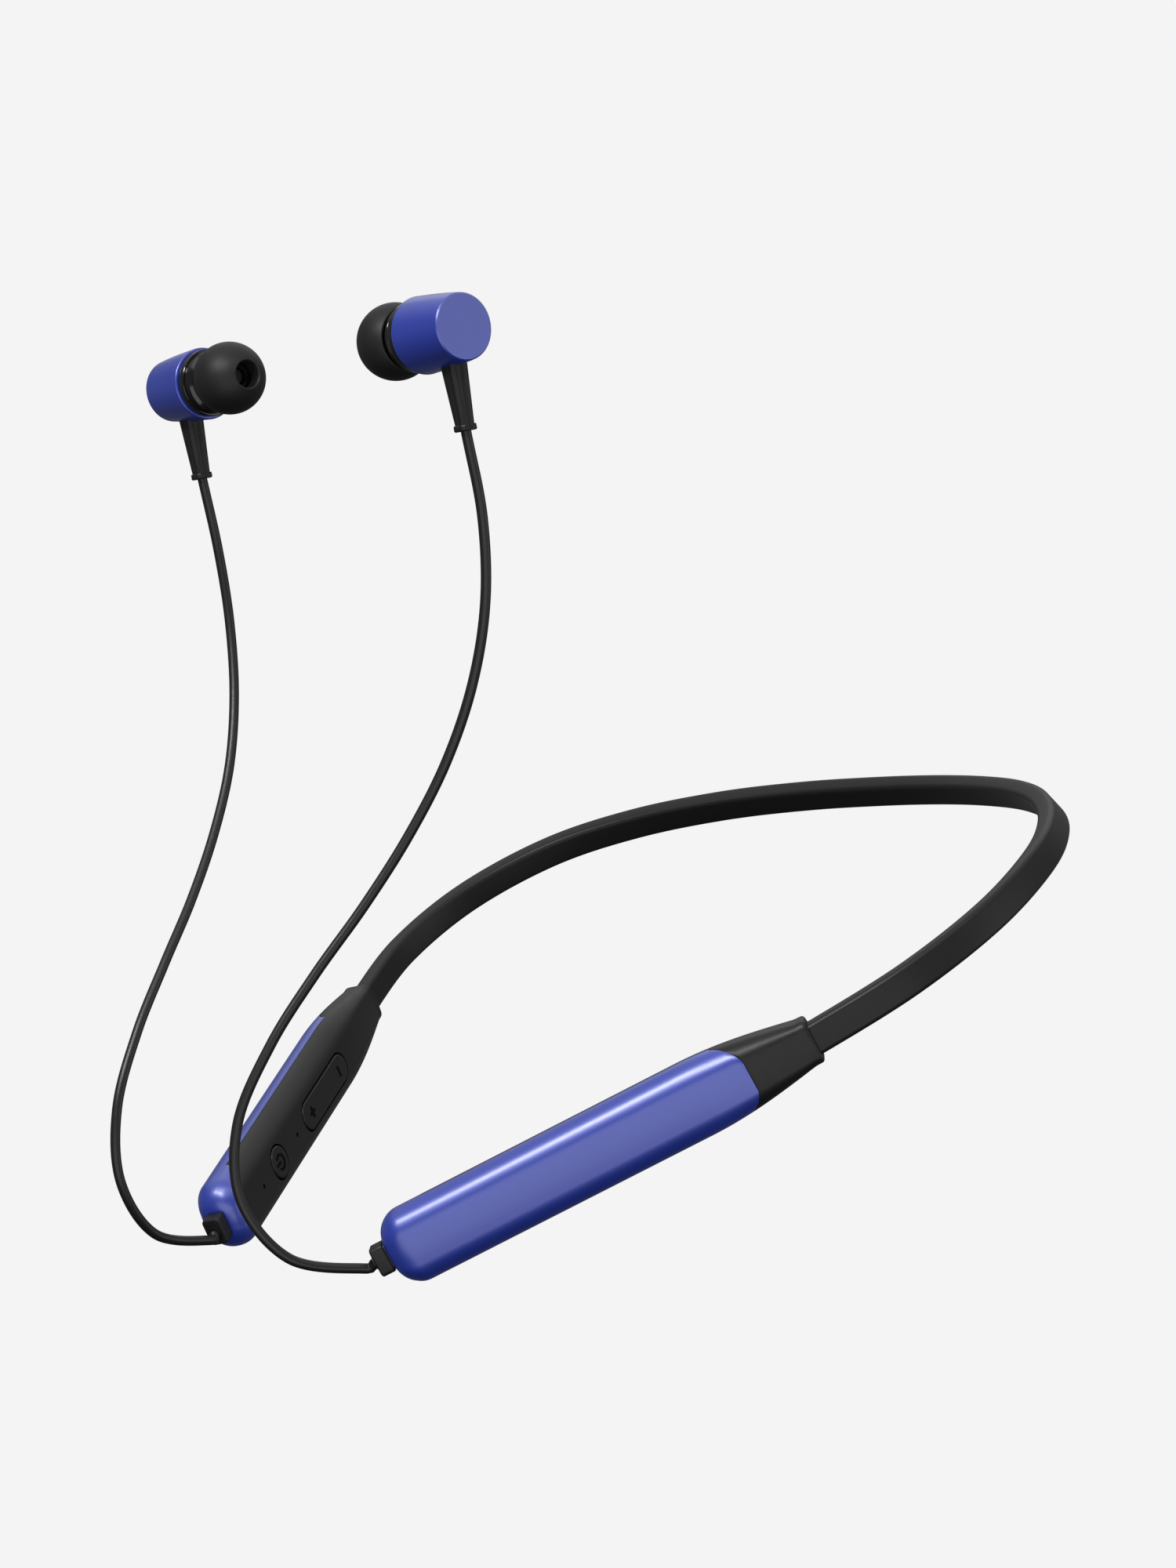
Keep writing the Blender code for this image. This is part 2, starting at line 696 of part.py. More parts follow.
def make_port(finishes, shell, cover, arm):
    """The charging port behind a slot in the pod's underside."""
    side = SIDES["right"]
    place = pod_frame(side)
    centre = -(BOARD_UNDER - GAP / 2 - PORT_THICK / 2) * side
    mouth = PORT_INSET - POD_HEIGHT / 2

    def section(grow, radius):
        outline = rounded_rect(PORT_WIDTH / 2 + grow, PORT_THICK / 2 + grow, radius, 4)
        return shifted(outline, PORT_AT, centre)

    def rings(outline):
        return [[(a, b, z) for a, b in outline] for z in (mouth, mouth + PORT_DEPTH)]

    can = pipe(rings(section(0.0, PORT_ROUND)), rings(section(-PORT_WALL, PORT_ROUND - PORT_WALL)))
    solid("usb_port_shell", can, finishes["steel"], place, arm)
    blade = shifted(rounded_rect(TONGUE_WIDTH / 2, TONGUE_THICK / 2, 0.15, 2), PORT_AT, centre)
    tongue = tablet((mouth + TONGUE_INSET, mouth + PORT_DEPTH), blade, "z")
    solid("usb_port_tongue", tongue, finishes["gloss_black"], place, arm)
    slot = tablet((-POD_HEIGHT, mouth + PORT_DEPTH), section(GAP, PORT_ROUND + GAP), "z")
    way = cutter("cut_usb_slot", slot, place, arm)
    cut(cover, way)
    cut(shell, way)


def make_battery(finishes, arm):
    """The left pod's cell and its protection board."""
    place = pod_frame(SIDES["left"])
    start = TAPER_LENGTH - 1.0
    cell = shifted(rounded_rect(CELL_THICK / 2, CELL_HEIGHT / 2, 1.0, 4), CELL_OFFSET, 0)
    solid("battery_cell", bar((start, start + CELL_LENGTH), cell), finishes["foil"], place, arm)
    board = shifted(rounded_rect(BOARD_THICK / 2, CELL_HEIGHT / 2 - 0.8, 0.2, 2), CELL_OFFSET, 0)
    ends = (CAVITY_START + 2.5, start - GAP)
    solid("battery_board", bar(ends, board), finishes["board_green"], place, arm)


# ---------------------------------------------------------------- earbuds and cords


def bud_frame(side, cord_end):
    """Bud axes: X points away from the wearer's head, Z up; the stem's foot meets the cord."""
    turn = Matrix.Rotation(math.radians(BUD_TURN), 4, "Z") @ Matrix.Rotation(math.radians(-BUD_TILT), 4, "Y")
    if side < 0:
        turn = turn @ Matrix.Rotation(math.pi, 4, "Z")
    stem = turn @ stem_turn(side) @ Vector((0, 0, -(STEM_LENGTH + BUD_RIM_RADIUS) * METRE, 1))
    place = turn.copy()
    place.translation = cord_end - stem.to_3d() - (turn @ Vector((STEM_OFFSET * METRE, 0, 0, 0))).to_3d()
    return place


def stem_turn(side):
    return Matrix.Rotation(math.radians(STEM_LEAN * side), 4, "X")


def bud_radius(x):
    """Outer radius of the bud's cone at a distance along its axis."""
    share = (x + BUD_LENGTH / 2) / BUD_LENGTH
    return BUD_RIM_RADIUS + (BUD_FACE_RADIUS - BUD_RIM_RADIUS) * share


def disc(outer_face, size):
    """A profile for a disc from its outer face inwards, with its (radius, thickness)."""
    radius, thickness = size
    inner_face = outer_face - thickness
    return [(outer_face, 0), (outer_face, radius), (inner_face, radius), (inner_face, 0)]


def make_earbud(side_name, finishes, arm, cord_end):
    side = SIDES[side_name]
    place = bud_frame(side, cord_end)
    face, rim = BUD_LENGTH / 2, -BUD_LENGTH / 2
    chamfer = 0.3

    def turned(name, profile, finish, sides=24, closed=False):
        return solid(f"{side_name}_{name}", lathe(profile, sides, closed), finishes[finish], place, arm)

    inner_rim = BUD_RIM_RADIUS - BUD_WALL
    inner_face = BUD_FACE_RADIUS - BUD_WALL
    housing = turned(
        "bud_housing",
        [
            (face, 0),
            (face, BUD_FACE_RADIUS - chamfer),
            (face - chamfer, BUD_FACE_RADIUS),
            (rim, BUD_RIM_RADIUS),
            (rim, inner_rim),
            (face - BUD_WALL, inner_face),
            (face - BUD_WALL, 0),
        ],
        "blue_metal",
        sides=32,
    )
    stem_place = place @ Matrix.Translation((STEM_OFFSET * METRE, 0, 0)) @ stem_turn(side)
    way = tablet((-BUD_RIM_RADIUS - 3, -2.5), circle(STEM_NECK / 2 + GAP, 12), "z")
    cut(housing, cutter(f"cut_{side_name}_stem_way", way, stem_place, arm))

    back = face - BUD_WALL - GAP
    turned("bud_magnet", disc(back, BUD_MAGNET), "magnet", 16)

    seat = rim + 0.6
    plug = inner_rim - GAP
    lip = rim - GAP
    ring_end = lip - BEZEL_LENGTH
    nozzle_root = ring_end - 1.9
    nozzle_end = nozzle_root - NOZZLE_LENGTH
    bezel = [
        (seat, NOZZLE_BORE),
        (seat, plug - 0.15),
        (lip, plug - 0.15),
        (lip, BEZEL_RADIUS),
        (ring_end + 0.2, BEZEL_RADIUS),
        (ring_end, BEZEL_RADIUS - 0.2),
        (ring_end, BEZEL_RADIUS - BEZEL_GROOVE),
        (ring_end - 0.6, BEZEL_RADIUS - BEZEL_GROOVE),
        (ring_end - 1.3, BEZEL_RADIUS - 1.1),
        (nozzle_root, NOZZLE_RADIUS + 0.9),
        (nozzle_root, NOZZLE_RADIUS),
        (nozzle_end, NOZZLE_RADIUS),
        (nozzle_end, NOZZLE_BORE),
    ]
    turned("bud_bezel", bezel, "gloss_black", closed=True)
    mesh_back = nozzle_end + MESH_DEPTH + MESH_THICK
    turned("nozzle_mesh", disc(mesh_back, (NOZZLE_BORE - GAP, MESH_THICK)), "steel", 12)

    driver = plug - GAP
    film_back = seat + GAP + FILM_THICK
    turned("driver_diaphragm", disc(film_back, (driver, FILM_THICK)), "film", 20)
    basket = film_back + GAP
    basket_end = basket + BASKET_DEPTH
    turned(
        "driver_basket",
        [
            (basket, driver),
            (basket, driver - BASKET_WALL),
            (basket_end - BASKET_WALL, driver - BASKET_WALL - 0.2),
            (basket_end - BASKET_WALL, 0),
            (basket_end, 0),
            (basket_end, driver - 0.3),
        ],
        "steel",
        20,
        closed=True,
    )
    turned("driver_magnet", disc(basket + 0.2 + DRIVER_MAGNET[1], DRIVER_MAGNET), "magnet", 16)

    make_ear_tip(side_name, finishes, arm, place, nozzle_root)
    make_stem(side_name, finishes, arm, stem_place)


def make_ear_tip(side_name, finishes, arm, place, nozzle_root):
    """A silicone mushroom: a sleeve on the nozzle and a thin dome folded back over it."""
    centre = -BUD_LENGTH / 2 - TIP_CENTRE
    start, stop = [math.radians(turn) for turn in TIP_SPAN]
    dome = [
        (centre + TIP_RADIUS * math.cos(a), TIP_RADIUS * math.sin(a))
        for a in np.linspace(start, stop, 11)
    ]
    under_radius = TIP_RADIUS - TIP_WALL
    under = [
        (centre + under_radius * math.cos(a), under_radius * math.sin(a))
        for a in np.linspace(stop - math.radians(10), start, 8)
    ]
    sleeve = NOZZLE_RADIUS + GAP
    wall = sleeve + TIP_WALL
    front = dome[-1][0]
    profile = dome + [
        (front + 0.3, TIP_BORE * 0.75),
        (front + 1.4, sleeve),
        (nozzle_root - 0.5, sleeve),
        (nozzle_root - 0.5, wall),
    ]
    profile += [(x, max(r, wall + 0.05)) for x, r in under]
    solid(f"{side_name}_ear_tip", lathe(profile, 24, closed=True), finishes["silicone"], place, arm)


def make_stem(side_name, finishes, arm, place):
    """The bud's strain relief: a ribbed tapering stem, with a neck through the housing's wall."""
    top = -BUD_RIM_RADIUS - 0.1
    foot = -BUD_RIM_RADIUS - STEM_LENGTH
    neck = STEM_NECK / 2
    rings = []
    for z, section in (
        (STEM_ROOT, rounded_rect(neck, neck, neck, 5)),
        (top, rounded_rect(neck, neck, neck, 5)),
        (top - 0.01, rounded_rect(STEM_TOP / 2, STEM_TOP / 2, 0.8, 5)),
        (foot, rounded_rect(STEM_END / 2, STEM_END / 2, 0.6, 5)),
    ):
        turns = np.linspace(0, len(section), 16, endpoint=False).astype(int)
        rings.append([(*section[t], z) for t in turns])
    solid(f"{side_name}_bud_stem", loft(rings), finishes["silicone"], place, arm)


def cord_points(side, outlet):
    """The cord's route in world millimetres, from its outlet to the foot of its bud's stem."""
    start = Vector(outlet) / METRE
    out = (WEAR @ mirrored(pod_direction(), side)).normalized()
    route = [start + out * GAP, start + out * (GAP + 2.0)]
    for i, step in enumerate(CORD_ROUTE):
        lift = EAR_OFFSET * side * max(0, i - len(CORD_ROUTE) + 3) / 2
        route.append(start + mirrored(step, side) + Vector((0, 0, lift)))
    return route


def make_cord(side_name, finishes, arm, outlet):
    route = cord_points(SIDES[side_name], outlet)
    path = smooth_path(route)
    points = points_at(path, np.linspace(0, path[1][-1], CORD_POINTS))
    curve = bpy.data.curves.new(f"{side_name}_cord", "CURVE")
    curve.dimensions = "3D"
    curve.bevel_depth = CORD_DIAMETER / 2 * METRE
    curve.bevel_resolution = 2
    curve.use_fill_caps = True
    spline = curve.splines.new("POLY")
    spline.points.add(len(points) - 1)
    for target, point in zip(spline.points, points):
        target.co = (*(Vector(point) * METRE), 1.0)
    obj = bpy.data.objects.new(f"{side_name}_cord", curve)
    bpy.context.scene.collection.objects.link(obj)
    attach(obj, Matrix.Identity(4), arm)
    curve.materials.append(finishes["cord_jacket"])
    last = Vector(points[-1]) - Vector(points[-2])
    return (route[-1] + last.normalized() * GAP) * METRE


# ---------------------------------------------------------------- the whole set


def make_arms():
    """An empty on each arm's bending axis, which is the band's height axis at the flex point."""
    at, _, flex, _ = band_stations()
    centre, side_axis, up = at(flex)
    arms = {}
    for name, side in SIDES.items():
        forward = side_axis.cross(up)
        place = WEAR @ frame(mirrored(centre, side), mirrored(forward, side), mirrored(up, side))
        arms[name] = empty(f"{name}_arm", place)
    return arms


def main():
    clear_scene()
    finishes = make_materials()
    arms = make_arms()
    make_neckband(finishes, arms)
    for name in SIDES:
        arm = arms[name]
        shell, cover = make_pod_shells(name, finishes, arm)
        if name == "right":
            make_controls(finishes, cover, arm)
            make_board(finishes, arm)
            make_port(finishes, shell, cover, arm)
        else:
            make_battery(finishes, arm)
        outlet = make_outlet(name, finishes, arm)
        cord_end = make_cord(name, finishes, arm, outlet)
        make_earbud(name, finishes, arm, cord_end)


main()
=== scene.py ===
"""The looks of the neckband earphones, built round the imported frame.

Shapes are worked out in millimetres in three kinds of local axes, the first two read from the frame:
  a pod's:  x from the collar's mouth to the tip, y outwards from the neck, z along the pod's height
  a bud's:  x outwards from the head, from the middle of its blue body, z up
  the neckband's:  world axes tipped forward by WEAR_PITCH
"""

import json
import math

import bmesh
import bpy
import numpy as np
from mathutils import Matrix, Vector


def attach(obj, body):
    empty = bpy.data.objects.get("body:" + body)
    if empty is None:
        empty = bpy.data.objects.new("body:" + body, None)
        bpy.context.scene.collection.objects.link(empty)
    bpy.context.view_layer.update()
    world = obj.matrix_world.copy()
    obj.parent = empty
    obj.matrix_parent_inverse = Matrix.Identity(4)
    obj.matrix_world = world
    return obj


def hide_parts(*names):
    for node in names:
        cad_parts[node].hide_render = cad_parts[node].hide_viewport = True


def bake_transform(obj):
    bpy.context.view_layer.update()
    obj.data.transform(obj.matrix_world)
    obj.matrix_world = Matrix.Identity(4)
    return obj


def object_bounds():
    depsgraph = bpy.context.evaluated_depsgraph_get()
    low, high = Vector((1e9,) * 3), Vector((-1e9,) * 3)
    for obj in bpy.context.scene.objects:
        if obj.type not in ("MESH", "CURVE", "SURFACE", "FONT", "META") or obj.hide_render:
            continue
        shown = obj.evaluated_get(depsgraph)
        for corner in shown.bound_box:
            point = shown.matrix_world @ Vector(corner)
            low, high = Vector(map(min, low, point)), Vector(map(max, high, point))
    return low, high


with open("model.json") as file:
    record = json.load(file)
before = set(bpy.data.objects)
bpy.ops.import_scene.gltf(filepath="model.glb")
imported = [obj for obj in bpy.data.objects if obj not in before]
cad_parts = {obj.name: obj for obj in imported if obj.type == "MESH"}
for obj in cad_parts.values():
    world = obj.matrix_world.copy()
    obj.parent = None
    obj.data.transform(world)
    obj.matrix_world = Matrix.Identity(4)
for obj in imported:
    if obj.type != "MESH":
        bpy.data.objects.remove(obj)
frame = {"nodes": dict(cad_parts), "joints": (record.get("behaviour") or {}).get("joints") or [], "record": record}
CAD_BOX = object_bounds()

MM = 0.001
SIDES = {"left": 1, "right": -1}
JOINTS = {joint["name"]: joint for joint in frame["joints"]}
MOUNTS = {mount["name"]: mount for mount in frame["record"]["mounts"]}

# Neckband, in millimetres; the route is in shares of half width, depth and rise, as in the CAD source
NECK_SIZE = (80.5, 78.4, 32.6)
NECK_ROUTE = (
    (0.0, 0.0, 0.0),
    (0.209, -0.017, 0.034),
    (0.412, -0.064, 0.126),
    (0.606, -0.142, 0.261),
    (0.785, -0.254, 0.420),
    (0.922, -0.399, 0.582),
    (0.998, -0.597, 0.747),
    (0.982, -0.809, 0.891),
    (0.888, -1.0, 1.0),
)
WEAR_PITCH = 49.4
BAND_HEIGHT = 5.2
BAND_THICK = 3.3
BAND_ROUND = 0.85
BAND_STATIONS = 150
BAND_SOCKET = 6.0
FLEX_SPAN = (3, 6)  # route points that make_band looks up but does not use

# Pods
POD_LENGTH = 74.4
POD_HEIGHT = 12.4
POD_THICK = 8.6
POD_ROUND = 3.9
POD_ROLL = 17.0
POD_WALL = 1.0
POD_CROWN = 0.1
POD_ROLL_SPAN = (0.45, 0.95)  # the band rolls into the pod's lean over these shares of its length
LIP_HEIGHT = 7.4
LIP_THICK = 5.6
LIP_ROUND = 1.5
LIP_EDGE = 0.55
# Rows of the collar, close together at its rounded lip
LIP_SHARES = (0.0, 0.003, 0.008, 0.016, 0.028, 0.045, 0.08, *np.linspace(0.12, 1, 22))
MOUTH_GAP = 0.12
TAPER_START = 1.5
TAPER_END = 21.0
TIP_ROUND = 4.2
TIP_FLATTEN = 0.7
MOUTH_RADIUS = 0.3  # least corner radius where the lip is rounded
SHELL_START = 11.0
SHELL_SWEEP = 4.2
SHELL_SWEEP_POWER = 1.7
SHELL_SWEPT = 19.0  # behind this the shell's rows are straight across
CAP_START = 65.5
CAP_SWEEP = 6.4
CAP_SWEEP_SCALE = 1.05
COVER_SWEPT = CAP_START - 6
PARTING = 0.3  # the two halves meet this far inwards of the pod's middle
SEAM = 0.05
EDGE_ROUND = 0.1
WELD = 0.01
POD_END = POD_LENGTH - TIP_ROUND + TIP_ROUND * math.pi / 2  # length along a pod's side and round its tip
TOP_STEPS, ARC_STEPS, FACE_STEPS = 4, 16, 11
SWEEP_ROWS, SIDE_ROWS, TIP_ROWS, COVER_END_ROWS = 10, 60, 40, 18

# Controls on the right pod's inner face
ROCKER_AT = 32.8
ROCKER_DEPTH = 3.6  # the rocker's axis lies this far inwards of the pod's axis
ROCKER_LENGTH = 21.0
ROCKER_WIDTH = 5.0
BUTTON_AT = 56.0
BUTTON_DIAMETER = 5.6
PINHOLES_AT = (63.8, 47.2)
PINHOLE_RADIUS = 0.42
CAP_GAP = 0.36
CAP_PROUD = 0.12
CAP_EDGE = 0.25
CAP_DOME = 0.05
CAP_DEPTH = 1.3
HOLE_MARGIN = 1.0  # the holes' cutters reach this far past the wall on both sides
MARK_AT = 6.9  # plus and minus, from the rocker's middle
MARK_HALF = (1.0, 0.26)
MARK_PROUD = 0.13
MARK_SUNK = 0.1
POWER_RING = (1.5, 0.42, 80)  # radius, width and opening in degrees
POWER_BAR_AT = 0.85
POWER_BAR_HALF = (0.8, 0.23)
PORT_AT = 60.0
PORT_MIDDLE = 1.75  # outwards of the pod's middle
PORT_HALF = (4.75, 1.85)
PORT_ROUND = 1.45

# Cords and their outlets
OUTLET_HEIGHT = 4.9
OUTLET_THICK = 3.4
OUTLET_LENGTH = 2.2
OUTLET_GAP = 0.3
OUTLET_ROUND = 0.7
OUTLET_EDGE = 0.35
OUTLET_SUNK = 0.5  # its foot starts this far inside the pod's tip
OUTLET_WAIST = 0.25  # and is this much smaller up to the tip
OUTLET_WAIST_END = (0.7, 0.8)
OUTLET_COLLAR = 0.35
OUTLET_COLLAR_LENGTH = 0.25
CORD_DIAMETER = 1.65
CORD_POINTS = 260
# A cord's way from its outlet to its earbud, as steps from the outlet; the right cord mirrors it
CORD_ROUTE = (
    (-4.1, -13.0, 0.8),
    (-6.3, -20.3, 9.9),
    (-6.3, -20.9, 21.8),
    (-4.2, -16.3, 33.9),
    (-1.4, -10.0, 44.8),
    (2.0, -3.3, 55.3),
    (5.5, 2.6, 66.1),
    (9.0, 7.3, 77.5),
    (12.5, 10.0, 89.6),
    (15.4, 10.6, 102.2),
    (16.9, 9.2, 114.8),
    (17.0, 6.2, 127.4),
)
EAR_OFFSET = 0.9
CORD_START = 2.0  # the cord leaves its outlet straight over this length

# Earbuds
BUD_LENGTH = 10.8
BUD_FACE_RADIUS = 5.25
BUD_RIM_RADIUS = 6.1
BUD_FACE_RING = 3.0
BUD_CHAMFER = 0.2
BUD_BULGE = 0.1
BUD_ROUND = 0.3
BUD_MOUTH = 4.9
BUD_MOUTH_DEPTH = 1.2
BEZEL_GAP = 0.12
BEZEL_SPIGOT = 4.75
BEZEL_SUNK = 1.0
BEZEL_RADIUS = 5.7
BEZEL_ROUND = 0.25
BEZEL_WIDTH = 1.5
BEZEL_STEP = (0.35, 5.25, 5.1)  # length and both radii of the step in front of the ring
# Curves from the step to the nozzle: distance before the ring, radius, curve's radius, from, to, points
BEZEL_CURVES = ((2.45, 4.75, 0.5, 40, 110, 6), (3.2, 3.4, 1.2, 80, 170, 8))
NOZZLE_AT = 3.7
NOZZLE_RADIUS = 2.6
NOZZLE_BORE = 1.5
NOZZLE_SPAN = (0.9, 6.0)
NOZZLE_BEVEL = (0.4, 0.2)
TIP_RADIUS = 6.1
TIP_CENTRE = 7.2
TIP_BORE = 2.25
TIP_SKIRT = 58  # the dome's open edge, in degrees from the bud's axis
TIP_CROWN = 143  # where the dome's inner side ends
TIP_WALL = 0.55
TIP_EDGE = 0.34
TIP_EDGE_SHIFT = (0.12, 0.16)
TIP_BORE_LENGTH = 2.4
TIP_SLEEVE = (2.68, 3.4, 3.5)  # bore, and outer radius at its end and at its root
TIP_SLEEVE_SPAN = (4.4, 6.2)
STEM_OFFSET = 1.1
STEM_LEAN = 10.8
STEM_LENGTH = 9.1
STEM_TOP = 3.5
STEM_END = 2.8
STEM_OVERLAP = 0.45  # the stem's foot closes round the cord's end
STEM_SUNK = 0.9  # its top starts this far inside the bud
STEM_FOOT = 1.0
STEM_NECKING = 0.25  # how much thinner it is just above its foot
FOOT_GROW = 0.12  # the foot is this much wider each way than the stem's end
# The foot's rows: height over its end or under its top, and growth of its half width
FOOT_TOP_ROWS = ((0.0, -0.08), (0.08, -0.02))
FOOT_END_ROWS = ((0.2, 0.0), (0.06, -0.08))
FOOT_END_INSET = 0.25
STEM_SIDES = 64
STEM_SQUARENESS = 5
STEM_RIBS = 8
STEM_RIB_DEPTH = 0.14
STEM_RIB_SHARPNESS = 3

CAMERA_AT = Vector((0.6339, -0.4642, -0.0024))
CAMERA_AZIMUTH = 58.28
CAMERA_ELEVATION = -0.25
CAMERA_LENS = 102.3
CAMERA_SENSOR = 36
CAMERA_NEAR = 0.01
BACKGROUND = 0.905
# Ambient light over the sky, from straight down (0) to straight up (1)
SKY = ((0.0, 0.015), (0.3, 0.05), (0.5, 0.2), (0.7, 0.16), (1.0, 0.1))
FLOOR_SIZE = 30.0
FLOOR_DROP = 0.3

DULL_BLACK = (0.009, 0.009, 0.0095)
JACKET_BLACK = (0.008, 0.008, 0.0085)
MARK_BLACK = (0.0015, 0.0015, 0.0015)
GLOSS_BLACK = (0.006, 0.006, 0.0065)
BLUE = (0.0105, 0.031, 0.30)
COAT_ROUGHNESS = 0.3
TONE_NOISE = (180, 3)  # scale and detail
GLOSS_NOISE = (900, 4)
GRAIN_DETAIL = 2
GRAIN_STRENGTH = 0.5


# ---------------------------------------------------------------- frames


def axes(origin, x, z):
    """A 4x4 from an origin in metres and two square axes."""
    x, z = Vector(x).normalized(), Vector(z).normalized()
    made = Matrix((x, z.cross(x), z)).transposed().to_4x4()
    made.translation = Vector(origin)
    return made


def mirrored(matrix):
    """The same place and axes on the other side of the neck."""
    return Matrix.Diagonal((-1, 1, 1, 1)) @ matrix


def pod_frames():
    rocker = JOINTS["volume_rocker_tilt"]
    outwards = Vector(JOINTS["multifunction_button_press"]["axis"])
    up = Vector(rocker["axis"])
    along = up.cross(outwards)
    origin = Vector(rocker["pos_m"]) - along * ROCKER_AT * MM + outwards * ROCKER_DEPTH * MM
    right = Matrix((along, outwards, up)).transposed().to_4x4()
    if right.to_3x3().determinant() > 0:
        along, origin = -along, origin + 2 * along * ROCKER_AT * MM
        right = Matrix((along, outwards, up)).transposed().to_4x4()
    right.translation = origin
    return {"right": right, "left": mirrored(right)}


def bud_frames():
    made = {}
    for side in SIDES:
        mount = MOUNTS[f"{side}_bud_face"]
        x = Vector(mount["axis"]).normalized()
        z = (Vector((0, 0, 1)) - x.z * x).normalized()
        made[side] = axes(Vector(mount["pos_m"]) - x * BUD_LENGTH / 2 * MM, x, z)
    return made


POD = pod_frames()
BUD = bud_frames()
WEAR = Matrix.Rotation(math.radians(WEAR_PITCH), 4, "X")


# ---------------------------------------------------------------- mesh helpers


def piece(name, shape, place, material, body, replaced=(), sharp=38):
    """An object from (points, faces) in local millimetres; it rides on a body and stands for CAD nodes."""
    points, faces = shape
    mesh = bpy.data.meshes.new(name)
    if place.to_3x3().determinant() < 0:
        faces = [f[::-1] for f in faces]
    mesh.from_pydata([place @ (Vector(p) * MM) for p in points], [], faces)
    mesh.shade_smooth()
    mesh.set_sharp_from_angle(angle=math.radians(sharp))
    mesh.materials.append(material)
    obj = bpy.data.objects.new(name, mesh)
    bpy.context.scene.collection.objects.link(obj)
    if body:
        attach(obj, body)
    if replaced:
        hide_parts(*replaced)
    return obj


def bake(obj, sharp=38):
    """Applies an object's modifiers to its mesh."""
    bpy.context.view_layer.update()
    evaluated = obj.evaluated_get(bpy.context.evaluated_depsgraph_get())
    mesh = bpy.data.meshes.new_from_object(evaluated)
    obj.modifiers.clear()
    obj.data = mesh
    mesh.shade_smooth()
    mesh.set_sharp_from_angle(angle=math.radians(sharp))


def cut(obj, shapes, place):
    """Cuts closed shapes out of an object."""
    tools = []
    for i, shape in enumerate(shapes):
        tool = piece(f"{obj.name}_tool_{i}", shape, place, None, None)
        change = obj.modifiers.new(tool.name, "BOOLEAN")
        change.operation = "DIFFERENCE"
        change.solver = "EXACT"
        change.object = tool
        tools.append(tool)
    bake(obj)
    for tool in tools:
        bpy.data.objects.remove(tool, do_unlink=True)


def thicken(obj, wall, edge):
    """Gives a surface a wall on its inner side and rounds the wall's edges."""
    change = obj.modifiers.new("wall", "SOLIDIFY")
    change.thickness = wall * MM
    change.offset = -1
    rounding = obj.modifiers.new("edges", "BEVEL")
    rounding.width = edge * MM
    rounding.segments = 2
    rounding.limit_method = "ANGLE"
    rounding.angle_limit = math.radians(60)
    bake(obj)


def weld(obj):
    """Merges points that lie in the same place."""
    work = bmesh.new()
    work.from_mesh(obj.data)
    bmesh.ops.remove_doubles(work, verts=work.verts, dist=WELD * MM)
    work.to_mesh(obj.data)
    work.free()


def joined(*shapes):
    points, faces = [], []
    for some_points, some_faces in shapes:
        shift = len(points)
        points += some_points
        faces += [tuple(i + shift for i in f) for f in some_faces]
    return points, faces


def turned_over(shape):
    """The same shape with its faces looking the other way."""
    points, faces = shape
    return points, [f[::-1] for f in faces]


def grid(rows, closed=False):
    """Quads between rows of equal length; closed joins each row's end to its start."""
    count = len(rows[0])
    points = [p for row in rows for p in row]
    faces = []
    for i in range(len(rows) - 1):
        for j in range(count if closed else count - 1):
            k = (j + 1) % count
            a, b = i * count, (i + 1) * count
            faces.append((a + j, b + j, b + k, a + k))
    return points, faces


def capped(rows):
    """A closed body through closed rows."""
    points, faces = grid(rows, closed=True)
    count = len(rows[0])
    last = (len(rows) - 1) * count
    faces.append(tuple(range(count)))
    faces.append(tuple(range(last, last + count))[::-1])
    return points, faces


def lathe(profile, sides=96, closed=False):
    """Turns (x, radius) points about X; a radius of 0 is a pole."""
    points, rings = [], []
    for x, radius in profile:
        rings.append((len(points), radius > 0))
        if radius > 0:
            turns = [2 * math.pi * i / sides for i in range(sides)]
            points += [(x, radius * math.cos(t), radius * math.sin(t)) for t in turns]
        else:
            points.append((x, 0.0, 0.0))
    faces = []
    for i in range(len(profile) - (0 if closed else 1)):
        (a, wide_a), (b, wide_b) = rings[i], rings[(i + 1) % len(profile)]
        for j in range(sides):
            k = (j + 1) % sides
            corners = (a + j * wide_a, b + j * wide_b, b + k * wide_b, a + k * wide_a)
            faces.append(tuple(dict.fromkeys(corners)))
    return points, faces


def arc(x, y, radius, start, stop, steps):
    """Points on an arc, angles in degrees."""
    return [
        (x + radius * math.cos(math.radians(a)), y + radius * math.sin(math.radians(a)))
        for a in np.linspace(start, stop, steps)
    ]


def stadium(half_length, half_width, steps=20):
    """A pill's outline, counter-clockwise; a circle when both halves are equal."""
    shift = half_length - half_width
    return arc(shift, 0, half_width, -90, 90, steps) + arc(-shift, 0, half_width, 90, 270, steps)


def rounded_rect(half_a, half_b, radius, steps=8):
    loop = []
    for corner in range(4):
        a = (half_a - radius) * (1 if corner in (0, 3) else -1)
        b = (half_b - radius) * (1 if corner in (0, 1) else -1)
        loop += arc(a, b, radius, 90 * corner, 90 * corner + 90, steps)
    return loop


def prism(outline, low, high, across="y"):
    """A closed straight bar with an outline in two axes and its length along the third."""
    if across == "y":
        return capped([[(a, end, b) for a, b in outline] for end in (low, high)])
    return turned_over(capped([[(a, b, end) for a, b in outline] for end in (low, high)]))


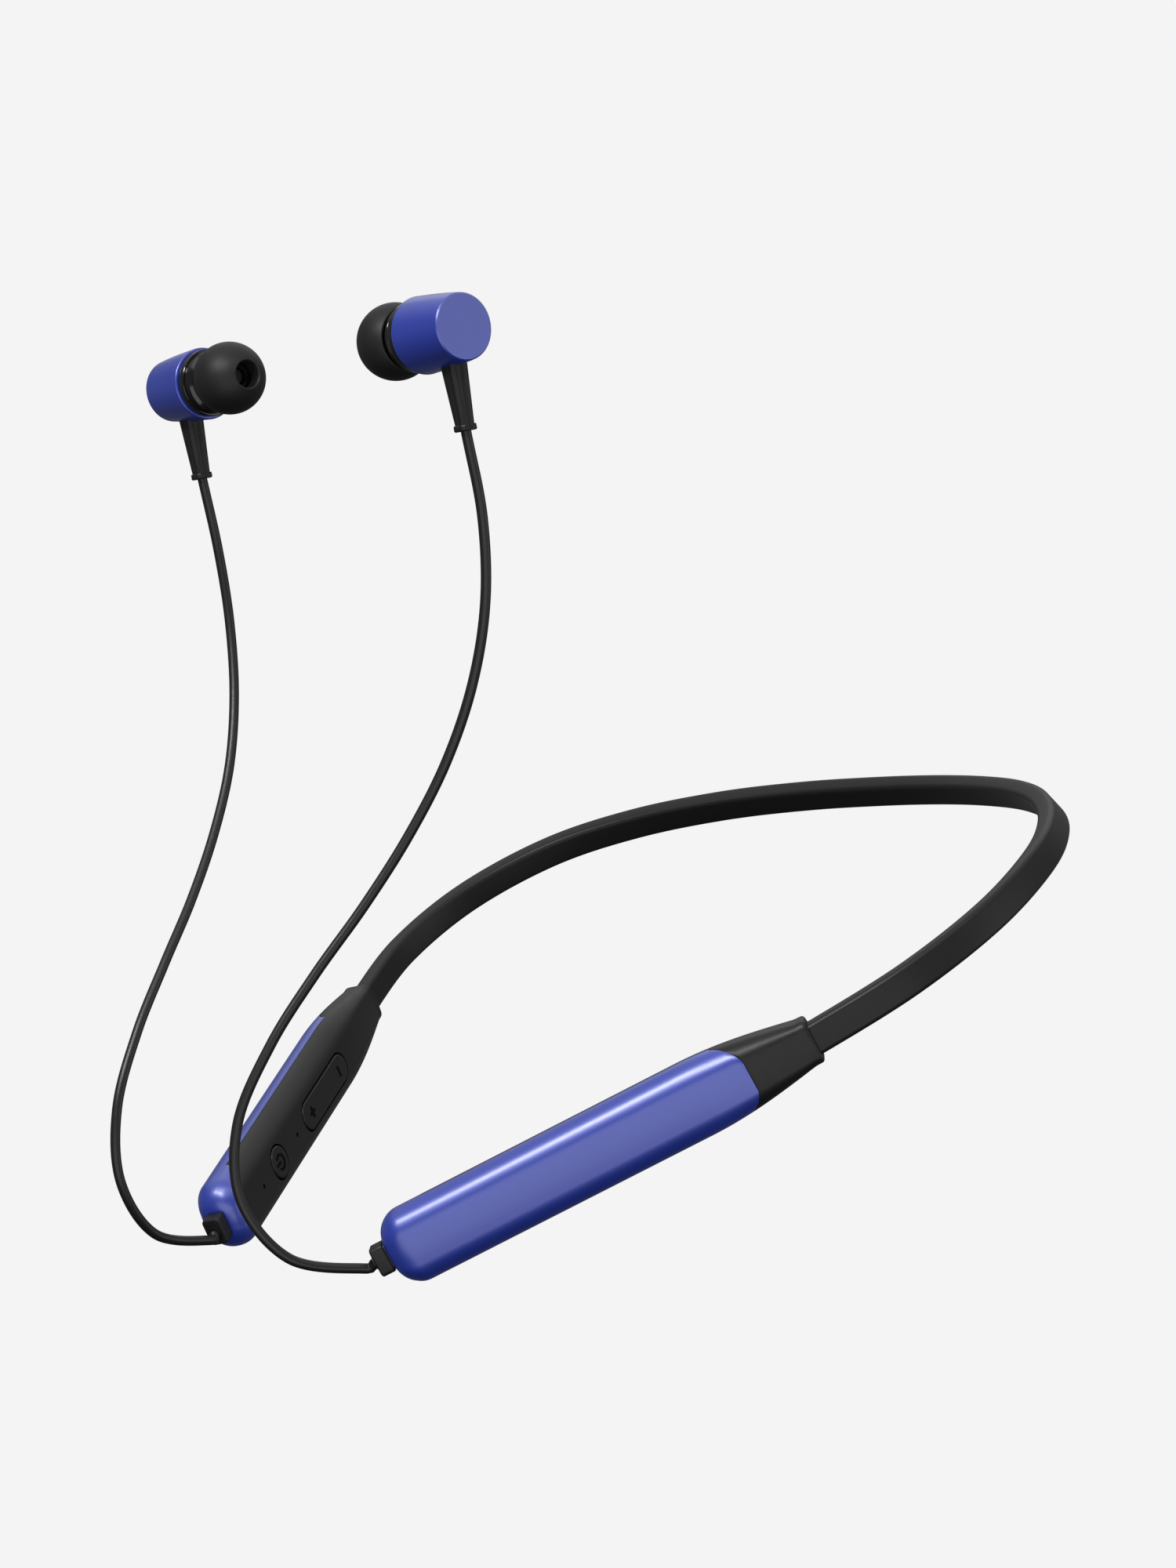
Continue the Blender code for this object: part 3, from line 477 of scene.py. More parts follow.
def smooth_path(route, count):
    """Evenly spaced points on a Catmull-Rom curve through the route."""
    route = np.array(route, float)
    padded = np.vstack([2 * route[0] - route[1], route, 2 * route[-1] - route[-2]])
    dense = []
    for i in range(1, len(padded) - 2):
        a, b, c, d = padded[i - 1 : i + 3]
        for t in np.linspace(0, 1, 24, endpoint=False):
            bend = (2 * a - 5 * b + 4 * c - d) * t**2 + (3 * b - a - 3 * c + d) * t**3
            dense.append(0.5 * (2 * b + (c - a) * t + bend))
    dense = np.array(dense + [route[-1]])
    travelled = np.concatenate([[0], np.cumsum(np.linalg.norm(np.diff(dense, axis=0), axis=1))])
    even = np.linspace(0, travelled[-1], count)
    return np.stack([np.interp(even, travelled, dense[:, k]) for k in range(3)], axis=1)


def smoothstep(t):
    t = min(max(t, 0.0), 1.0)
    return t * t * (3 - 2 * t)


# ---------------------------------------------------------------- materials


def finish(
    name,
    colour,
    roughness,
    metallic=0.0,
    grain=6000,
    bump=0.02,
    vary=0.08,
    uneven=0.05,
    coat=0.0,
    specular=0.5,
):
    """A principled shader with a fine moulded grain, slow tonal variation and slightly uneven gloss."""
    made = bpy.data.materials.new(name)
    made.use_nodes = True
    nodes, links = made.node_tree.nodes, made.node_tree.links
    shader = nodes["Principled BSDF"]
    shader.inputs["Metallic"].default_value = metallic
    shader.inputs["Specular IOR Level"].default_value = specular
    shader.inputs["Coat Weight"].default_value = coat
    shader.inputs["Coat Roughness"].default_value = COAT_ROUGHNESS
    place = nodes.new("ShaderNodeTexCoord")

    def noise(scale, detail):
        made_noise = nodes.new("ShaderNodeTexNoise")
        made_noise.inputs["Scale"].default_value = scale
        made_noise.inputs["Detail"].default_value = detail
        links.new(place.outputs["Object"], made_noise.inputs["Vector"])
        return made_noise.outputs["Fac"]

    tone = nodes.new("ShaderNodeMix")
    tone.data_type = "RGBA"
    tone.inputs["A"].default_value = (*[c * (1 - vary) for c in colour], 1)
    tone.inputs["B"].default_value = (*[min(c * (1 + vary), 1) for c in colour], 1)
    links.new(noise(*TONE_NOISE), tone.inputs["Factor"])
    links.new(tone.outputs["Result"], shader.inputs["Base Color"])

    gloss = nodes.new("ShaderNodeMapRange")
    gloss.inputs["To Min"].default_value = max(roughness - uneven, 0.02)
    gloss.inputs["To Max"].default_value = roughness + uneven
    links.new(noise(*GLOSS_NOISE), gloss.inputs["Value"])
    links.new(gloss.outputs["Result"], shader.inputs["Roughness"])

    relief = nodes.new("ShaderNodeBump")
    relief.inputs["Strength"].default_value = GRAIN_STRENGTH
    relief.inputs["Distance"].default_value = bump * MM
    links.new(noise(grain, GRAIN_DETAIL), relief.inputs["Height"])
    links.new(relief.outputs["Normal"], shader.inputs["Normal"])
    return made


def make_finishes():
    return {
        "silicone": finish("silicone", DULL_BLACK, 0.42, grain=5000, bump=0.002, specular=0.22),
        "tip_silicone": finish("tip_silicone", DULL_BLACK, 0.5, grain=7000, bump=0.004, specular=0.25),
        "blue_metal": finish(
            "blue_metal",
            BLUE,
            0.38,
            metallic=0.2,
            grain=9000,
            bump=0.001,
            vary=0.03,
            uneven=0.01,
            coat=0.8,
            specular=0.8,
        ),
        "black_plastic": finish("black_plastic", DULL_BLACK, 0.4, grain=4200, bump=0.006, specular=0.24),
        "gloss_black": finish("gloss_black", GLOSS_BLACK, 0.12, grain=1500, bump=0.001, uneven=0.02),
        "mark_black": finish("mark_black", MARK_BLACK, 0.6, grain=4000, bump=0.002, specular=0.05),
        "cord_jacket": finish("cord_jacket", JACKET_BLACK, 0.36, grain=3500, bump=0.005, specular=0.35),
        "steel": finish("steel", (0.55, 0.56, 0.58), 0.3, metallic=1.0, bump=0.004),
        "dark_mesh": finish("dark_mesh", (0.03, 0.03, 0.03), 0.5, metallic=0.6, grain=9000, bump=0.03),
        "board_green": finish("board_green", (0.03, 0.16, 0.07), 0.5, bump=0.01),
        "foil": finish("foil", (0.62, 0.63, 0.65), 0.35, metallic=0.9, bump=0.02, grain=1200),
        "magnet": finish("magnet", (0.4, 0.4, 0.42), 0.25, metallic=1.0, bump=0.003),
        "film": finish("film", (0.75, 0.7, 0.5), 0.3, bump=0.002),
        "lens": finish("lens", (0.8, 0.85, 0.9), 0.1, bump=0.001),
        "copper": finish("copper", (0.7, 0.32, 0.15), 0.35, metallic=1.0, bump=0.01),
    }


# ---------------------------------------------------------------- studio


def direction(azimuth, elevation):
    """From the set towards a place round it; azimuth 0 is the front, 90 the wearer's left."""
    a, e = math.radians(azimuth), math.radians(elevation)
    return Vector((math.sin(a) * math.cos(e), -math.cos(a) * math.cos(e), math.sin(e)))


def make_camera():
    data = bpy.data.cameras.new("camera")
    data.lens = CAMERA_LENS
    data.sensor_width = CAMERA_SENSOR
    data.clip_start = CAMERA_NEAR
    camera = bpy.data.objects.new("camera", data)
    back = direction(CAMERA_AZIMUTH, CAMERA_ELEVATION)
    camera.location = CAMERA_AT
    camera.rotation_mode = "QUATERNION"
    camera.rotation_quaternion = (-back).to_track_quat("-Z", "Y")
    bpy.context.scene.collection.objects.link(camera)
    bpy.context.scene.camera = camera


def softbox(name, azimuth, elevation, distance, size, power):
    data = bpy.data.lights.new(name, "AREA")
    data.shape = "RECTANGLE"
    data.size, data.size_y = size
    data.energy = power
    lamp = bpy.data.objects.new(name, data)
    towards = direction(azimuth, elevation)
    lamp.location = towards * distance
    lamp.rotation_mode = "QUATERNION"
    lamp.rotation_quaternion = towards.to_track_quat("Z", "Y")
    lamp.visible_camera = False
    bpy.context.scene.collection.objects.link(lamp)


def make_studio():
    bpy.context.scene.view_settings.view_transform = "Standard"
    world = bpy.data.worlds.new("studio")
    bpy.context.scene.world = world
    world.use_nodes = True
    nodes, links = world.node_tree.nodes, world.node_tree.links
    nodes.clear()
    output = nodes.new("ShaderNodeOutputWorld")
    seen = nodes.new("ShaderNodeBackground")
    seen.inputs["Color"].default_value = (BACKGROUND, BACKGROUND, BACKGROUND, 1)
    ambient = nodes.new("ShaderNodeBackground")
    place = nodes.new("ShaderNodeTexCoord")
    split = nodes.new("ShaderNodeSeparateXYZ")
    ramp = nodes.new("ShaderNodeValToRGB")
    rise = nodes.new("ShaderNodeMapRange")
    rise.inputs["From Min"].default_value = -1
    for position, light in SKY:
        if position in (0.0, 1.0):
            stop = ramp.color_ramp.elements[int(position)]
        else:
            stop = ramp.color_ramp.elements.new(position)
        stop.color = (light, light, light, 1)
    links.new(place.outputs["Generated"], split.inputs["Vector"])
    links.new(split.outputs["Z"], rise.inputs["Value"])
    links.new(rise.outputs["Result"], ramp.inputs["Fac"])
    links.new(ramp.outputs["Color"], ambient.inputs["Color"])
    pick = nodes.new("ShaderNodeLightPath")
    mix = nodes.new("ShaderNodeMixShader")
    links.new(pick.outputs["Is Camera Ray"], mix.inputs["Fac"])
    links.new(ambient.outputs["Background"], mix.inputs[1])
    links.new(seen.outputs["Background"], mix.inputs[2])
    links.new(mix.outputs["Shader"], output.inputs["Surface"])

    softbox("front_panel", CAMERA_AZIMUTH, -20, 1.6, (2.4, 1.1), 13)
    softbox("top_panel", CAMERA_AZIMUTH + 12, 46, 1.5, (1.6, 0.6), 3.6)
    softbox("key_outer", CAMERA_AZIMUTH - 48, 36, 1.4, (0.24, 0.24), 8)
    softbox("key_inner", CAMERA_AZIMUTH - 26, 36, 1.4, (0.24, 0.24), 8)
    softbox("side_panel", CAMERA_AZIMUTH + 76, 5, 1.7, (1.2, 1.2), 6)
    softbox("back_panel", CAMERA_AZIMUTH + 175, 40, 1.8, (1.8, 1.2), 3)


def make_floor():
    """A plain pale floor far enough below that no shadow shows on it."""
    mesh = bpy.data.meshes.new("floor")
    size, height = FLOOR_SIZE, CAD_BOX[0].z - FLOOR_DROP
    corners = [(x * size, y * size, height) for x, y in ((-1, -1), (1, -1), (1, 1), (-1, 1))]
    mesh.from_pydata(corners, [], [(0, 1, 2, 3)])
    floor = bpy.data.objects.new("floor", mesh)
    bpy.context.scene.collection.objects.link(floor)
    made = bpy.data.materials.new("floor")
    made.use_nodes = True
    shader = made.node_tree.nodes["Principled BSDF"]
    shader.inputs["Base Color"].default_value = (0, 0, 0, 1)
    shader.inputs["Specular IOR Level"].default_value = 0
    shader.inputs["Emission Color"].default_value = (BACKGROUND, BACKGROUND, BACKGROUND, 1)
    shader.inputs["Emission Strength"].default_value = 1
    mesh.materials.append(made)
    floor.visible_diffuse = False
    floor.visible_glossy = False
    floor.visible_shadow = False


# ---------------------------------------------------------------- cords


def outlet_tip(side):
    """Where a cord leaves its outlet."""
    reach = POD_LENGTH + OUTLET_GAP + OUTLET_LENGTH
    return POD[side] @ Vector((reach * MM, 0, 0)) / MM


def cord_route(side):
    sign = SIDES[side]
    start = outlet_tip(side)
    along = (POD[side].to_3x3() @ Vector((1, 0, 0))).normalized()
    route = [start + along * OUTLET_GAP, start + along * (OUTLET_GAP + CORD_START)]
    for i, step in enumerate(CORD_ROUTE):
        lift = EAR_OFFSET * sign * max(0, i - len(CORD_ROUTE) + 3) / 2
        route.append(start + Vector((step[0] * sign, step[1], step[2] + lift)))
    return route


def make_cord(side, finishes):
    points = smooth_path(cord_route(side), CORD_POINTS) * MM
    curve = bpy.data.curves.new(f"{side}_cord_line", "CURVE")
    curve.dimensions = "3D"
    curve.bevel_depth = CORD_DIAMETER / 2 * MM
    curve.bevel_resolution = 8
    curve.use_fill_caps = True
    spline = curve.splines.new("POLY")
    spline.points.add(len(points) - 1)
    for target, point in zip(spline.points, points):
        target.co = (*point, 1.0)
    spline.use_smooth = True
    curve.materials.append(finishes["cord_jacket"])
    cord = bpy.data.objects.new(f"{side}_cord_line", curve)
    bpy.context.scene.collection.objects.link(cord)
    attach(cord, f"{side}_arm")
    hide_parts(f"{side}_cord")


# ---------------------------------------------------------------- neckband


def band_path(side):
    """Centres and tangents of half the neckband, from the back's middle into the collar."""
    sign = SIDES[side]
    pod = WEAR.inverted() @ POD[side]
    along = (pod.to_3x3() @ Vector((1, 0, 0))).normalized()
    route = [Vector([c * size for c, size in zip(share, NECK_SIZE)]) for share in NECK_ROUTE]
    route = [Vector((p.x * sign, p.y, p.z)) for p in route]
    route.append(route[-1] + along * BAND_SOCKET)
    whole = [Vector((-p.x, p.y, p.z)) for p in route[:0:-1]] + route
    points = smooth_path(whole, 2 * BAND_STATIONS - 1)
    tangents = np.gradient(points, axis=0)
    return points[BAND_STATIONS - 1 :], tangents[BAND_STATIONS - 1 :]


def band_section():
    return rounded_rect(BAND_THICK / 2, BAND_HEIGHT / 2, BAND_ROUND, 9)


def make_band(side, finishes):
    sign = SIDES[side]
    points, tangents = band_path(side)
    roll_start, roll_end = POD_ROLL_SPAN
    rows = []
    for i, (centre, tangent) in enumerate(zip(points, tangents)):
        tangent = Vector(tangent).normalized()
        up = Vector((0, 0, 1))
        up = (up - up.dot(tangent) * tangent).normalized()
        share = smoothstep((i / len(points) - roll_start) / (roll_end - roll_start))
        up = Matrix.Rotation(math.radians(POD_ROLL * share * sign), 3, tangent) @ up
        across = up.cross(tangent)
        rows.append([Vector(centre) + across * a + up * b for a, b in band_section()])
    band = piece(
        f"{side}_band",
        capped(rows[::-1]),
        WEAR,
        finishes["silicone"],
        None,
        replaced=(f"neckband_{side}",) + (("neckband_back",) if side == "left" else ()),
        sharp=60,
    )
    for index in FLEX_SPAN:
        share = NECK_ROUTE[index]
    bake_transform(band)


# ---------------------------------------------------------------- pods


def pod_size(w):
    """x, half thickness, half height and corner radius at w, along a pod's side and round its tip."""
    tip_start = POD_LENGTH - TIP_ROUND
    turn = min(max(w - tip_start, 0.0) / TIP_ROUND, math.pi / 2)
    x = min(w, tip_start) + TIP_ROUND * math.sin(turn)
    inset = TIP_ROUND * (1 - math.cos(turn))
    grown = math.sin(math.pi / 2 * min(max((x - TAPER_START) / (TAPER_END - TAPER_START), 0.0), 1.0))
    half_y = (LIP_THICK + (POD_THICK - LIP_THICK) * grown) / 2 - TIP_FLATTEN * inset
    half_z = (LIP_HEIGHT + (POD_HEIGHT - LIP_HEIGHT) * grown) / 2 - inset
    radius = min(LIP_ROUND + (POD_ROUND - LIP_ROUND) * grown, half_y, half_z)
    if x < LIP_EDGE:
        edge = LIP_EDGE - math.sqrt(max(LIP_EDGE**2 - (LIP_EDGE - x) ** 2, 0.0))
        half_y, half_z = half_y - edge, half_z - edge
        radius = max(radius - edge, MOUTH_RADIUS)
    return x, half_y, half_z, radius


def mouth_size(x):
    """The collar's mouth closes down to the band, in pod_size's terms."""
    return x, BAND_THICK / 2 + MOUTH_GAP, BAND_HEIGHT / 2 + MOUTH_GAP, BAND_ROUND + MOUTH_GAP


def half_outline(w_of, sign, seam=SEAM, size=pod_size):
    """One side of a pod's section, from the top parting to the bottom one, at w_of(depth from the top)."""
    upper = [("flat", t) for t in np.linspace(0, 1, TOP_STEPS, endpoint=False)]
    upper += [("arc", t) for t in np.linspace(0, 1, ARC_STEPS)]
    steps = [(kind, t, False) for kind, t in upper]
    steps += [("face", t, False) for t in np.linspace(0, 1, FACE_STEPS + 2)[1:-1]]
    steps += [(kind, t, True) for kind, t in upper[::-1]]
    row = []
    for kind, t, lower in steps:
        depth = {"flat": 0.0, "arc": t, "face": 1.0}[kind]
        x, half_y, half_z, radius = size(w_of(depth))
        edge, flat = half_y - radius, half_z - radius
        start = min(seam - sign * min(PARTING, max(edge, 0.0)), edge)
        if kind == "flat":
            y, z = start + (edge - start) * t, half_z
        elif kind == "arc":
            turn = math.pi / 2 * t
            y, z = edge + radius * math.sin(turn), flat + radius * math.cos(turn)
        else:
            z = flat * (1 - 2 * t)
            y = half_y + POD_CROWN * (1 - (1 - 2 * t) ** 2)
        row.append((x, y * sign, -z if lower else z))
    return row


def sweep_between(first, last, sign, shares, seam=SEAM):
    """Rows between two edges given as functions of the depth round the section."""
    rows = []
    for s in np.linspace(0, 1, shares) if isinstance(shares, int) else shares:
        rows.append(half_outline(lambda depth: first(depth) + (last(depth) - first(depth)) * s, sign, seam))
    return rows


def straight(w):
    """An edge that runs straight across a pod at w."""
    return lambda depth: w


def shell_start(depth):
    """The blue shell's front edge, which sweeps forward round the corners."""
    return SHELL_START + SHELL_SWEEP * (1 - depth) ** SHELL_SWEEP_POWER


def cover_end(depth):
    """The black cover's front edge on the inner face."""
    return CAP_START + CAP_SWEEP * smoothstep(depth * CAP_SWEEP_SCALE)


def offset(edge, by):
    """The same edge, moved along the pod."""
    return lambda depth: edge(depth) + by


def make_outer_shell(side, finishes):
    front = offset(shell_start, SEAM)
    swept, cap, end = straight(SHELL_SWEPT), straight(CAP_START + SEAM), straight(POD_END)
    rows = sweep_between(front, swept, 1, SWEEP_ROWS)
    rows += sweep_between(swept, cap, 1, SIDE_ROWS)[1:]
    rows += sweep_between(cap, end, 1, TIP_ROWS, 0.0)[1:]
    inner = sweep_between(offset(cover_end, SEAM), end, -1, TIP_ROWS, 0.0)
    ring = rows[-1] + inner[-1][::-1]
    tip = (ring, [tuple(range(len(ring)))[::-1]])
    return piece(
        f"{side}_blue_shell",
        joined(grid(rows), turned_over(grid(inner)), tip),
        POD[side],
        finishes["blue_metal"],
        f"{side}_arm",
        replaced=(f"{side}_outer_shell",),
    )


def make_inner_cover(side, finishes):
    mouth, collar = straight(0.0), straight(SHELL_START + SHELL_SWEEP - SEAM)
    swept = straight(COVER_SWEPT)
    outer = [half_outline(mouth, 1, 0.0, mouth_size)]
    outer += sweep_between(mouth, offset(shell_start, -SEAM), 1, LIP_SHARES, 0.0)
    inner = [half_outline(mouth, -1, 0.0, mouth_size)]
    inner += sweep_between(mouth, collar, -1, LIP_SHARES, 0.0)
    inner += sweep_between(collar, swept, -1, SIDE_ROWS)[1:]
    inner += sweep_between(swept, offset(cover_end, -SEAM), -1, COVER_END_ROWS)[1:]
    return piece(
        f"{side}_black_cover",
        joined(grid(outer), turned_over(grid(inner))),
        POD[side],
        finishes["black_plastic"],
        f"{side}_arm",
        replaced=(f"{side}_inner_cover",),
    )


def make_pod(side, finishes):
    shell = make_outer_shell(side, finishes)
    cover = make_inner_cover(side, finishes)
    for part in (shell, cover):
        weld(part)
        thicken(part, POD_WALL, EDGE_ROUND)
    make_outlet(side, finishes)
    return shell, cover


def cut_port(shell):
    """The charging port's slot in the right pod's underside."""
    outline = rounded_rect(*PORT_HALF, PORT_ROUND)
    placed = [(PORT_AT + a, PORT_MIDDLE + b) for a, b in outline]
    cut(shell, [prism(placed, -POD_HEIGHT, -POD_HEIGHT / 4, across="z")], POD["right"])


def make_outlet(side, finishes):
    """The square strain relief at a pod's tip."""
    base, end = POD_LENGTH - OUTLET_SUNK, POD_LENGTH + OUTLET_GAP + OUTLET_LENGTH
    half_y, half_z, edge = OUTLET_THICK / 2, OUTLET_HEIGHT / 2, OUTLET_EDGE

    def row(x, inset, radius):
        return [(x, y, z) for y, z in rounded_rect(half_y - inset, half_z - inset, radius)]

    rows = [row(x, OUTLET_WAIST, OUTLET_ROUND) for x in (base, base + OUTLET_WAIST_END[0])]
    rows += [row(x, 0.0, OUTLET_ROUND) for x in (base + OUTLET_WAIST_END[1], end - edge)]
    for turn in np.radians(np.linspace(18, 90, 5)):
        inset = edge * (1 - math.cos(turn))
        rows.append(row(end - edge + edge * math.sin(turn), inset, OUTLET_ROUND - inset / 2))
    collar = CORD_DIAMETER / 2 + OUTLET_COLLAR
    ring = rounded_rect(collar, collar, collar)
    rows += [[(x, y, z) for y, z in ring] for x in (end, end + OUTLET_COLLAR_LENGTH)]
    piece(
        f"{side}_strain_relief",
        capped(rows[::-1]),
        POD[side],
        finishes["black_plastic"],
        f"{side}_arm",
        replaced=(f"{side}_cord_outlet",),
    )


# ---------------------------------------------------------------- earbuds


def housing_profile(face, rim):
    """The blue body, from the middle of its flat face round its rim and into its mouth."""
    flare = BUD_RIM_RADIUS - BUD_FACE_RADIUS
    shoulder = face - BUD_CHAMFER
    profile = [(face, 0), (face, BUD_FACE_RING), (face, BUD_FACE_RADIUS - BUD_CHAMFER)]
    profile += [(shoulder, BUD_FACE_RADIUS), (shoulder - 0.05, BUD_FACE_RADIUS + 0.005)]
    for share in np.linspace(0.08, 0.94, 12):
        bulge = BUD_BULGE * math.sin(math.pi * share)
        profile.append((face - BUD_LENGTH * share, BUD_FACE_RADIUS + flare * share + bulge))
    profile += arc(rim + BUD_ROUND, BUD_RIM_RADIUS - BUD_ROUND, BUD_ROUND, 90, 180, 6)
    floor = rim + BUD_MOUTH_DEPTH
    return profile + [(rim, BUD_MOUTH), (floor, BUD_MOUTH), (floor, 0)]


def bezel_profile(rim):
    """The glossy ring in front of the blue body, which curves down to the nozzle."""
    lip = rim - BEZEL_GAP
    front = lip - BEZEL_WIDTH
    crest = BEZEL_RADIUS - BEZEL_ROUND
    foot = rim + BEZEL_SUNK
    profile = [(foot, NOZZLE_BORE), (foot, BEZEL_SPIGOT), (lip, BEZEL_SPIGOT)]
    profile += arc(lip - BEZEL_ROUND, crest, BEZEL_ROUND, 0, 90, 4)
    profile += arc(front + BEZEL_ROUND, crest, BEZEL_ROUND, 90, 180, 4)
    step, before, after = BEZEL_STEP
    profile += [(front, before), (front - step, after)]
    for distance, radius, curve, start, stop, steps in BEZEL_CURVES:
        profile += arc(lip - distance, radius, curve, start, stop, steps)
    start, end = [rim - NOZZLE_AT - x for x in NOZZLE_SPAN]
    length, narrowing = NOZZLE_BEVEL
    profile += [(start, NOZZLE_RADIUS), (end + length, NOZZLE_RADIUS)]
    return profile + [(end, NOZZLE_RADIUS - narrowing), (end, NOZZLE_BORE)]


def tip_profile(rim):
    """The ear tip: its dome, the turned-in front edge, the sleeve on the nozzle and the dome's inner side."""
    centre, mid_wall = rim - TIP_CENTRE, TIP_RADIUS - TIP_WALL / 2
    stop = 180 - math.degrees(math.asin((TIP_BORE + TIP_EDGE) / TIP_RADIUS))
    dome = arc(centre, 0, TIP_RADIUS, TIP_SKIRT, stop, 36)
    out, back = TIP_EDGE_SHIFT
    front = dome[-1][0] + out
    dome += arc(front + TIP_EDGE - back, TIP_BORE + TIP_EDGE, TIP_EDGE, 190, 270, 6)
    bore, end_radius, root_radius = TIP_SLEEVE
    end, root = [rim - x for x in TIP_SLEEVE_SPAN]
    sleeve = [(front + TIP_BORE_LENGTH, TIP_BORE), (front + TIP_BORE_LENGTH + 0.1, bore)]
    sleeve += [(end, bore), (end, end_radius), (root, root_radius)]
    under = arc(centre, 0, TIP_RADIUS - TIP_WALL, TIP_CROWN, TIP_SKIRT, 14)
    skirt = math.radians(TIP_SKIRT)
    x, radius = centre + mid_wall * math.cos(skirt), mid_wall * math.sin(skirt)
    return dome + sleeve + under + arc(x, radius, TIP_WALL / 2, TIP_SKIRT - 150, TIP_SKIRT - 30, 5)


def make_bud(side, finishes):
    place, body = BUD[side], f"{side}_arm"
    face, rim = BUD_LENGTH / 2, -BUD_LENGTH / 2
    piece(
        f"{side}_bud_body",
        lathe(housing_profile(face, rim)),
        place,
        finishes["blue_metal"],
        body,
        replaced=(f"{side}_bud_housing",),
        sharp=25,
    )
    piece(
        f"{side}_bud_front",
        lathe(bezel_profile(rim), closed=True),
        place,
        finishes["gloss_black"],
        body,
        replaced=(f"{side}_bud_bezel",),
        sharp=30,
    )
    piece(
        f"{side}_tip",
        lathe(tip_profile(rim), closed=True),
        place,
        finishes["tip_silicone"],
        f"{side}_ear_tip",
        replaced=(f"{side}_ear_tip",),
        sharp=50,
    )
    make_stem(side, finishes)


def make_stem(side, finishes):
    """The bud's tapered strain relief: a rounded square, ribbed lengthways, with a square foot."""
    place = BUD[side] @ Matrix.Translation((STEM_OFFSET * MM, 0, 0))
    place = place @ Matrix.Rotation(math.radians(STEM_LEAN * SIDES[side]), 4, "X")
    top, end = -BUD_RIM_RADIUS + STEM_SUNK, -BUD_RIM_RADIUS - STEM_LENGTH - STEM_OVERLAP
    foot = end + STEM_FOOT
    rows = []
    for share in np.linspace(0, 1, 14):
        half = (STEM_TOP + (STEM_END - STEM_NECKING - STEM_TOP) * share) / 2
        rows.append(stem_ring(half, top + (foot - top) * share))
    half = STEM_END / 2 + FOOT_GROW
    rows += [stem_ring(half + grow, foot - drop) for drop, grow in FOOT_TOP_ROWS]
    rows += [stem_ring(half + grow, end + rise) for rise, grow in FOOT_END_ROWS]
    rows.append(stem_ring(half - FOOT_END_INSET, end))
    piece(
        f"{side}_stem",
        capped(rows),
        place,
        finishes["silicone"],
        f"{side}_arm",
        replaced=(f"{side}_bud_stem",),
        sharp=40,
    )


def stem_ring(half, z):
    """A rounded square ring with shallow grooves round it."""
    ring = []
    for i in range(STEM_SIDES):
        turn = 2 * math.pi * i / STEM_SIDES
        c, s = math.cos(turn), math.sin(turn)
        radius = half / (abs(c) ** STEM_SQUARENESS + abs(s) ** STEM_SQUARENESS) ** (1 / STEM_SQUARENESS)
        groove = STEM_RIB_DEPTH * max(0.0, math.cos(STEM_RIBS * turn)) ** STEM_RIB_SHARPNESS
        ring.append((c * (radius - groove), s * (radius - groove), z))
    return ring


# ---------------------------------------------------------------- controls


def cap_rows(half_length, half_width, low, high):
    """A button cap from low to high, as outward distances, with a rounded top edge and a gentle crown."""
    edge, crown = CAP_EDGE, high + CAP_DOME
    rows = [(0.0, low), (0.0, high - edge)]
    for turn in np.radians(np.linspace(20, 90, 5)):
        rows.append((edge * (1 - math.cos(turn)), high - edge + edge * math.sin(turn)))
    rows += [(edge + 0.5, high + 0.6 * CAP_DOME), (half_width * 0.75, crown), (half_width - 0.02, crown)]
    made = []
    for inset, out in rows:
        made.append([(a, -out, b) for a, b in stadium(half_length - inset, half_width - inset)])
    return made


def make_controls(finishes, cover):
    place = POD["right"]
    face = POD_THICK / 2 + POD_CROWN
    hole_span = (-face - HOLE_MARGIN, -face + POD_WALL + HOLE_MARGIN)
    holes = []
    caps = {
        "multifunction_button": ("play_button", BUTTON_AT, BUTTON_DIAMETER / 2, BUTTON_DIAMETER / 2),
        "volume_rocker": ("volume_button", ROCKER_AT, ROCKER_LENGTH / 2, ROCKER_WIDTH / 2),
    }
    for body, (name, x, half_length, half_width) in caps.items():
        hole = [(x + a, b) for a, b in stadium(half_length + CAP_GAP, half_width + CAP_GAP)]
        holes.append(prism(hole, *hole_span))
        rows = cap_rows(half_length, half_width, face - CAP_DEPTH, face + CAP_PROUD)
        rows = [[(a + x, b, c) for a, b, c in row] for row in rows]
        piece(
            name,
            capped(rows[::-1]),
            place,
            finishes["black_plastic"],
            body,
            replaced=(body,),
        )
    for x in PINHOLES_AT:
        outline = [(x + a, b) for a, b in stadium(PINHOLE_RADIUS, PINHOLE_RADIUS, 10)]
        holes.append(prism(outline, *hole_span))
    cut(cover, holes, place)


def bar_outline(half_length, half_width):
    """A rectangle, counter-clockwise."""
    a, b = half_length, half_width
    return [(a, -b), (a, b), (-a, b), (-a, -b)]


